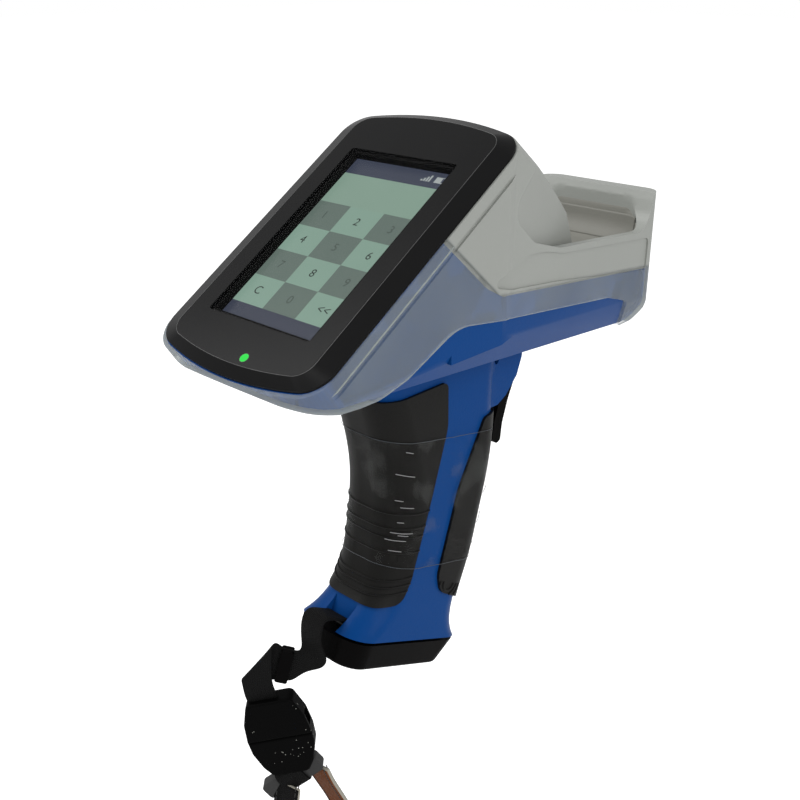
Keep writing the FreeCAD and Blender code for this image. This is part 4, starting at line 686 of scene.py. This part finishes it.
# picture on the display: a plain number pad
pad = {
    "wide": 0.0562, "tall": 0.0936, "row": 0.01447, "column": 0.01872, "lift": 0.00012,
    "bar": (0.058, 0.07, 0.11), "field": (0.3, 0.45, 0.36), "light": (0.3, 0.465, 0.375),
    "dark": (0.158, 0.217, 0.187), "foot": (0.055, 0.065, 0.1), "digit": (0.02, 0.03, 0.025),
    "faint": (0.085, 0.115, 0.1), "sign": (0.5, 0.55, 0.55), "digitSize": 0.0056,
    "keys": ("1", "2", "3", "4", "5", "6", "7", "8", "9", "C", "0", "<<"),
}
inks = {name: litInk("ink" + name.title(), pad[name]) for name in
        ("bar", "field", "light", "dark", "foot", "digit", "faint", "sign")}
inkOrder = list(inks)
padPoints = []
padFaces = []
padInks = []


def addPatch(x0, x1, y0, y1, ink, lift=0.0):
    start = len(padPoints)
    for x, y in ((x0, y0), (x1, y0), (x1, y1), (x0, y1)):
        padPoints.append(deckMatrix @ Vector((x, y, pad["lift"] + lift)))
    padFaces.append((start, start + 1, start + 2, start + 3))
    padInks.append(inkOrder.index(ink))


halfWide = pad["wide"] / 2
topEdge = pad["tall"] / 2
keyTop = topEdge - 1.85 * pad["row"]
barLow = topEdge - 0.65 * pad["row"]
addPatch(-halfWide, halfWide, barLow, topEdge, "bar")
addPatch(-halfWide, halfWide, keyTop, barLow, "field")
for i in range(12):
    row, column = divmod(i, 3)
    left = -halfWide + column * pad["column"]
    high = keyTop - row * pad["row"]
    addPatch(left, left + pad["column"], high - pad["row"], high, "light" if i % 2 else "dark")
addPatch(-halfWide, halfWide, -topEdge, keyTop - 4 * pad["row"], "foot")
signLow = barLow + 0.0030
batteryLeft = halfWide - 0.0085
addPatch(batteryLeft, batteryLeft + 0.0054, signLow, signLow + 0.0032, "sign", 0.0001)  # battery gauge
addPatch(batteryLeft + 0.0054, batteryLeft + 0.006, signLow + 0.0009, signLow + 0.0023, "sign", 0.0001)
addPatch(batteryLeft + 0.0034, batteryLeft + 0.0050, signLow + 0.0004, signLow + 0.0028, "bar", 0.0002)
for i in range(4):  # signal bars
    left = batteryLeft - 0.0070 + 0.0013 * i
    addPatch(left, left + 0.0009, signLow, signLow + 0.0009 * (i + 1), "sign", 0.0001)
display = meshPiece("displayPicture", padPoints, padFaces)
for name in inkOrder:
    display.data.materials.append(inks[name])
for face, index in zip(display.data.polygons, padInks):
    face.material_index = index
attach(display, "base")


def lettering(name, text, x, y, tall, ink):
    curve = bpy.data.curves.new(name, "FONT")
    curve.body = text
    curve.size = tall
    curve.align_x = "CENTER"
    curve.align_y = "CENTER"
    piece = link(bpy.data.objects.new(name, curve))
    piece.matrix_world = deckMatrix @ Matrix.Translation((x, y, pad["lift"] + 0.0001))
    piece = settle(piece)
    piece.data.materials.clear()
    piece.data.materials.append(ink)
    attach(piece, "base")


for i, key in enumerate(pad["keys"]):
    row, column = divmod(i, 3)
    lettering(f"key{i}", key, -halfWide + (column + 0.5) * pad["column"], keyTop - (row + 0.5) * pad["row"],
              pad["digitSize"], inks["digit" if i % 2 else "faint"])

# dull frame that lines the window, from the picture up to the glass
gasket = {"half": 0.02795, "tall": 0.04665, "low": 0.0002, "high": 0.0034, "wall": 0.0006}
gasketPoints = []
for inset in (0, gasket["wall"]):
    for lift in (gasket["low"], gasket["high"]):
        for x, y in ((1, 1), (-1, 1), (-1, -1), (1, -1)):
            gasketPoints.append(deckMatrix @ Vector(
                (x * (gasket["half"] - inset), y * (gasket["tall"] - inset), lift)))
gasketFaces = []
for i in range(4):
    j = (i + 1) % 4
    gasketFaces += [(i, i + 4, j + 4, j), (i + 8, j + 8, j + 12, i + 12), (i + 4, i + 12, j + 12, j + 4),
                    (i, j, j + 8, i + 8)]
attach(meshPiece("windowGasket", gasketPoints, gasketFaces, gasketBlack), "base")
print("display drawn")

# lining that closes the tray's front wall, where the seat of the nose plate cuts through it
lining = {"front": 0.132, "corner": 0.012, "straight": 0.0191, "foot": 0.011, "footTop": 0.11, "half": 0.0275,
          "low": 0.1008, "high": 0.1135, "proud": 0.00025, "thick": 0.0004, "rows": 14, "columns": 40}
liningPoints = []
for row in range(lining["rows"] + 1):
    z = lining["low"] + (lining["high"] - lining["low"]) * row / lining["rows"]
    drop = max(0.0, lining["footTop"] - z)
    inset = lining["foot"] - math.sqrt(lining["foot"] ** 2 - drop ** 2) + lining["proud"]
    for column in range(lining["columns"] + 1):
        y = lining["half"] * (2 * column / lining["columns"] - 1)
        past = max(0.0, abs(y) - lining["straight"])
        bend = math.sqrt((lining["corner"] - inset) ** 2 - min(past, lining["corner"] - inset) ** 2)
        liningPoints.append((lining["front"] - lining["corner"] + bend, y, z))
wide = lining["columns"] + 1
liningFaces = [(i * wide + j, i * wide + j + 1, (i + 1) * wide + j + 1, (i + 1) * wide + j)
               for i in range(lining["rows"]) for j in range(lining["columns"])]
trayLining = meshPiece("trayLining", liningPoints, liningFaces, greyShell, True)
body = trayLining.modifiers.new("body", "SOLIDIFY")
body.thickness = lining["thick"]
body.offset = 0
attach(settle(trayLining), "base")

# webbing: it hangs from the bar in a plane that nearly faces the camera
hang = {"origin": (-0.0694, -0.0004, 0.0), "turn": 43.0, "thick": 0.0015}
hangTurn = math.radians(hang["turn"])
hangSide = Vector((-math.sin(hangTurn), math.cos(hangTurn), 0))
hangAway = Vector((math.cos(hangTurn), math.sin(hangTurn), 0))


def hung(side, height, away=0.0):  # spot on the strap's plane, in millimetres
    return Vector(hang["origin"]) + mm * (side * hangSide + away * hangAway + height * Vector((0, 0, 1)))


def ribbon(name, rows, thick, sheets, levels=2):  # flat band through rows of left and right edge spots
    lanes = (0.0, 0.05, 0.25, 0.5, 0.75, 0.95, 1.0)
    points = []
    spans = []
    run = 0.0
    for i, (left, right) in enumerate(rows):
        middle = (left + right) / 2
        run += (middle - last).length if i else 0.0
        last = middle
        for lane in lanes:
            points.append(left.lerp(right, lane))
            spans.append((run, lane))
    count = len(lanes)
    faces = [(i * count + j, i * count + j + 1, (i + 1) * count + j + 1, (i + 1) * count + j)
             for i in range(len(rows) - 1) for j in range(count - 1)]
    piece = meshPiece(name, points, faces, None, True)
    for sheet in sheets:
        piece.data.materials.append(sheet)
    chart = piece.data.uv_layers.new(name="band")
    for loop in piece.data.loops:
        chart.data[loop.index].uv = spans[loop.vertex_index]
    wall = piece.modifiers.new("wall", "SOLIDIFY")
    wall.thickness = thick
    wall.offset = 0
    wall.material_offset = len(sheets) - 1
    wall.material_offset_rim = min(1, len(sheets) - 1)
    soft = piece.modifiers.new("soft", "SUBSURF")
    soft.levels = levels
    soft.render_levels = levels
    return settle(piece)


# the drop from the bar, as middle x and z, then the folded run, as left and right edges with their depth
tether = {
    "drop": ((-52.4, -45.2), (-52.7, -42.6), (-54.6, -41.6), (-58.0, -39.8), (-62.2, -37.0), (-66.2, -35.4),
             (-68.9, -37.4), (-69.9, -42.4), (-70.1, -47.6)),
    "half": 6.35,
    "run": ((5.2, -51.5, 2.5, -6.6, -56.0, -3.0), (5.9, -53.3, 1.2, -4.9, -60.6, -1.6),
            (7.0, -53.3, 0.5, -1.0, -62.5, -0.8), (8.6, -52.8, 0.0, 3.4, -63.8, -0.3),
            (10.6, -52.3, 0.0, 7.6, -67.2, 0.0), (13.4, -51.7, 0.0, 10.4, -69.5, 0.0),
            (15.4, -49.2, 0.0, 14.4, -69.1, 0.0), (16.8, -48.9, 0.0, 18.6, -68.7, 0.0),
            (17.3, -49.3, -0.3, 25.6, -68.2, -0.2), (17.7, -49.8, -0.9, 32.5, -67.5, -0.8),
            (18.0, -50.8, -1.6, 32.7, -68.3, -1.6), (18.2, -54.0, -2.0, 32.6, -69.3, -2.0),
            (18.8, -61.0, -2.1, 32.3, -71.5, -2.1), (19.0, -69.5, -2.0, 31.9, -75.5, -2.0),
            (17.6, -74.6, -1.4, 31.0, -79.8, -1.4), (16.4, -79.0, -0.4, 29.6, -82.6, -0.4),
            (15.6, -83.0, 0.0, 28.4, -86.0, 0.0)),
}
tetherRows = []
for x, z in tether["drop"]:
    tetherRows.append((Vector((x, tether["half"], z)) * mm, Vector((x, -tether["half"], z)) * mm))
for a, b, c, d, e, f in tether["run"]:
    tetherRows.append((hung(a, b, c), hung(d, e, f)))
tetherWebbing = ribbon("tetherWebbing", tetherRows, hang["thick"], [blackWebbing])
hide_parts("tether_strap")
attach(tetherWebbing, "base")

# wrist loop: black webbing outside, brown lining inside, pale cut edges
loop = {
    "middle": (-77.44, 8.19, -123.8), "turn": 11.0, "wide": 0.0136, "thick": 0.0024, "length": 0.2616,
    "stitch": 0.0031, "stitchLong": 0.0021, "stitchInset": 0.0016,
    # along the loop's plane, up, and out of the plane towards the adjuster's upper end
    "spots": ((-4, -3, 0), (-8, -19, 0), (-13, -46, 0), (-13, -76, 0), (0, -103, 0), (22, -113, 0),
              (42, -100, 0), (46, -72, 0), (34, -44, 1), (20, -20, 5), (11, -5, 8), (6.5, 5, 9)),
}
loopTurn = math.radians(loop["turn"])
loopAlong = Vector((math.cos(loopTurn), math.sin(loopTurn), 0))
loopWay = Vector((math.sin(loopTurn), -math.cos(loopTurn), 0))
loopSpots = [(Vector(loop["middle"]) + side * loopAlong + height * Vector((0, 0, 1)) + aside * loopWay) * mm
             for side, height, aside in loop["spots"]]


def routeLine(name, spots, steps=12):  # points read from a smooth curve that has the spots as its handles
    curve = bpy.data.curves.new(name, "CURVE")
    curve.dimensions = "3D"
    curve.resolution_u = steps
    spline = curve.splines.new("NURBS")
    spline.points.add(len(spots) - 1)
    for handle, spot in zip(spline.points, spots):
        handle.co = (*spot, 1)
    spline.order_u = 3
    spline.use_endpoint_u = True
    item = settle(link(bpy.data.objects.new(name, curve)))
    line = [vert.co.copy() for vert in item.data.vertices]
    bpy.data.objects.remove(item)
    return line


loopLine = routeLine("wristRoute", loopSpots)
halfBand = loop["wide"] / 2
loopRows = [(spot - halfBand * loopWay, spot + halfBand * loopWay) for spot in loopLine]
wristBand = ribbon("wristBand", loopRows, loop["thick"], [brownLining, bandEdge, blackWebbing], 1)
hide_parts("wrist_loop")
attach(wristBand, "base")
rails = []
for hand in (-1, 1):
    for lift in (-1, 1):
        rail = []
        for i in range(len(loopLine)):
            ahead = (loopLine[min(i + 1, len(loopLine) - 1)] - loopLine[max(i - 1, 0)]).normalized()
            out = ahead.cross(loopWay).normalized()
            rail.append(loopLine[i] + hand * (halfBand - loop["stitchInset"]) * loopWay
                        + lift * loop["thick"] / 2 * out)
        rails.append(rail)
wristStitches = grow("wristStitches", rails, stitchTree, Pitch=loop["stitch"], Long=loop["stitchLong"],
                     Finish=threadDark)
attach(wristStitches, "base")

# webbing wound round the middle of the adjuster
wrap = {"spot": (11.75, -123.8), "lean": 37.7, "half": 6.6, "wide": 5.5, "deep": 3.5, "thick": 0.0013}
wrapLean = math.radians(wrap["lean"])
wrapLong = hung(math.cos(wrapLean), -math.sin(wrapLean)) - hung(0, 0)
wrapUp = hung(math.sin(wrapLean), math.cos(wrapLean)) - hung(0, 0)
wrapRows = []
for step in range(33):
    angle = 2 * math.pi * step / 32
    across, away = math.cos(angle), math.sin(angle)
    squared = 1 / (abs(across) ** 4 + abs(away) ** 4) ** 0.25
    core = hung(*wrap["spot"]) + squared * (wrap["wide"] * across * wrapUp
                                            + wrap["deep"] * mm * away * hangAway)
    wrapRows.append((core - wrap["half"] * wrapLong, core + wrap["half"] * wrapLong))
adjusterWrap = ribbon("adjusterWrap", wrapRows, wrap["thick"], [blackWebbing], 1)
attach(adjusterWrap, "base")
print("webbing hung")

# stage, lights and camera
stage = {"floorDrop": 0.012, "floorGlow": 0.62, "world": 0.62, "key": 6.5, "fill": 5.0}
floorLevel = cadBox[0].z - stage["floorDrop"]
floor = meshPiece("floor", [(-9, -9, floorLevel), (9, -9, floorLevel), (9, 9, floorLevel), (-9, 9, floorLevel)],
                  [(0, 1, 2, 3)])
floorFinish, floorTree, floorShader = newFinish("paleFloor")
floorShader.inputs["Base Color"].default_value = (0.85, 0.85, 0.85, 1)
floorShader.inputs["Roughness"].default_value = 0.9
floorShader.inputs["Specular IOR Level"].default_value = 0.0
floorShader.inputs["Emission Color"].default_value = (1, 1, 1, 1)
rays = addNode(floorTree, "ShaderNodeLightPath")
seen = mathNode(floorTree, "MULTIPLY", rays.outputs["Is Camera Ray"], stage["floorGlow"])
floorTree.links.new(seen, floorShader.inputs["Emission Strength"])
floor.data.materials.append(floorFinish)

world = bpy.data.worlds.new("studio")
scene.world = world
world.use_nodes = True
sky = world.node_tree
background = sky.nodes["Background"]
background.inputs["Color"].default_value = (1, 1, 1, 1)
skyRays = addNode(sky, "ShaderNodeLightPath")
level = mathNode(sky, "MULTIPLY", skyRays.outputs["Is Camera Ray"], 1 - stage["world"])
sky.links.new(mathNode(sky, "ADD", level, stage["world"]), background.inputs["Strength"])


def softBox(name, place, target, wide, power):
    lamp = bpy.data.lights.new(name, "AREA")
    lamp.shape = "RECTANGLE"
    lamp.size = wide
    lamp.size_y = wide
    lamp.energy = power
    item = link(bpy.data.objects.new(name, lamp))
    item.location = place
    item.rotation_euler = (Vector(target) - Vector(place)).to_track_quat("-Z", "Y").to_euler()


softBox("keyLight", (-0.5, 0.6, 0.9), (0, 0, 0.05), 0.8, stage["key"])
softBox("fillLight", (-0.2, -1.0, 0.5), (0, 0, 0.05), 0.9, stage["fill"])

view = {"place": (-0.3192, -0.2878, 0.2310), "look": (0.6705, 0.6289, -0.3936), "lens": 46.35}
lens = bpy.data.cameras.new("camera")
lens.sensor_width = 36
lens.lens = view["lens"]
lens.clip_start = 0.01
camera = link(bpy.data.objects.new("camera", lens))
camera.location = view["place"]
camera.rotation_euler = Vector(view["look"]).to_track_quat("-Z", "Y").to_euler()
scene.camera = camera
scene.view_settings.view_transform = "Standard"
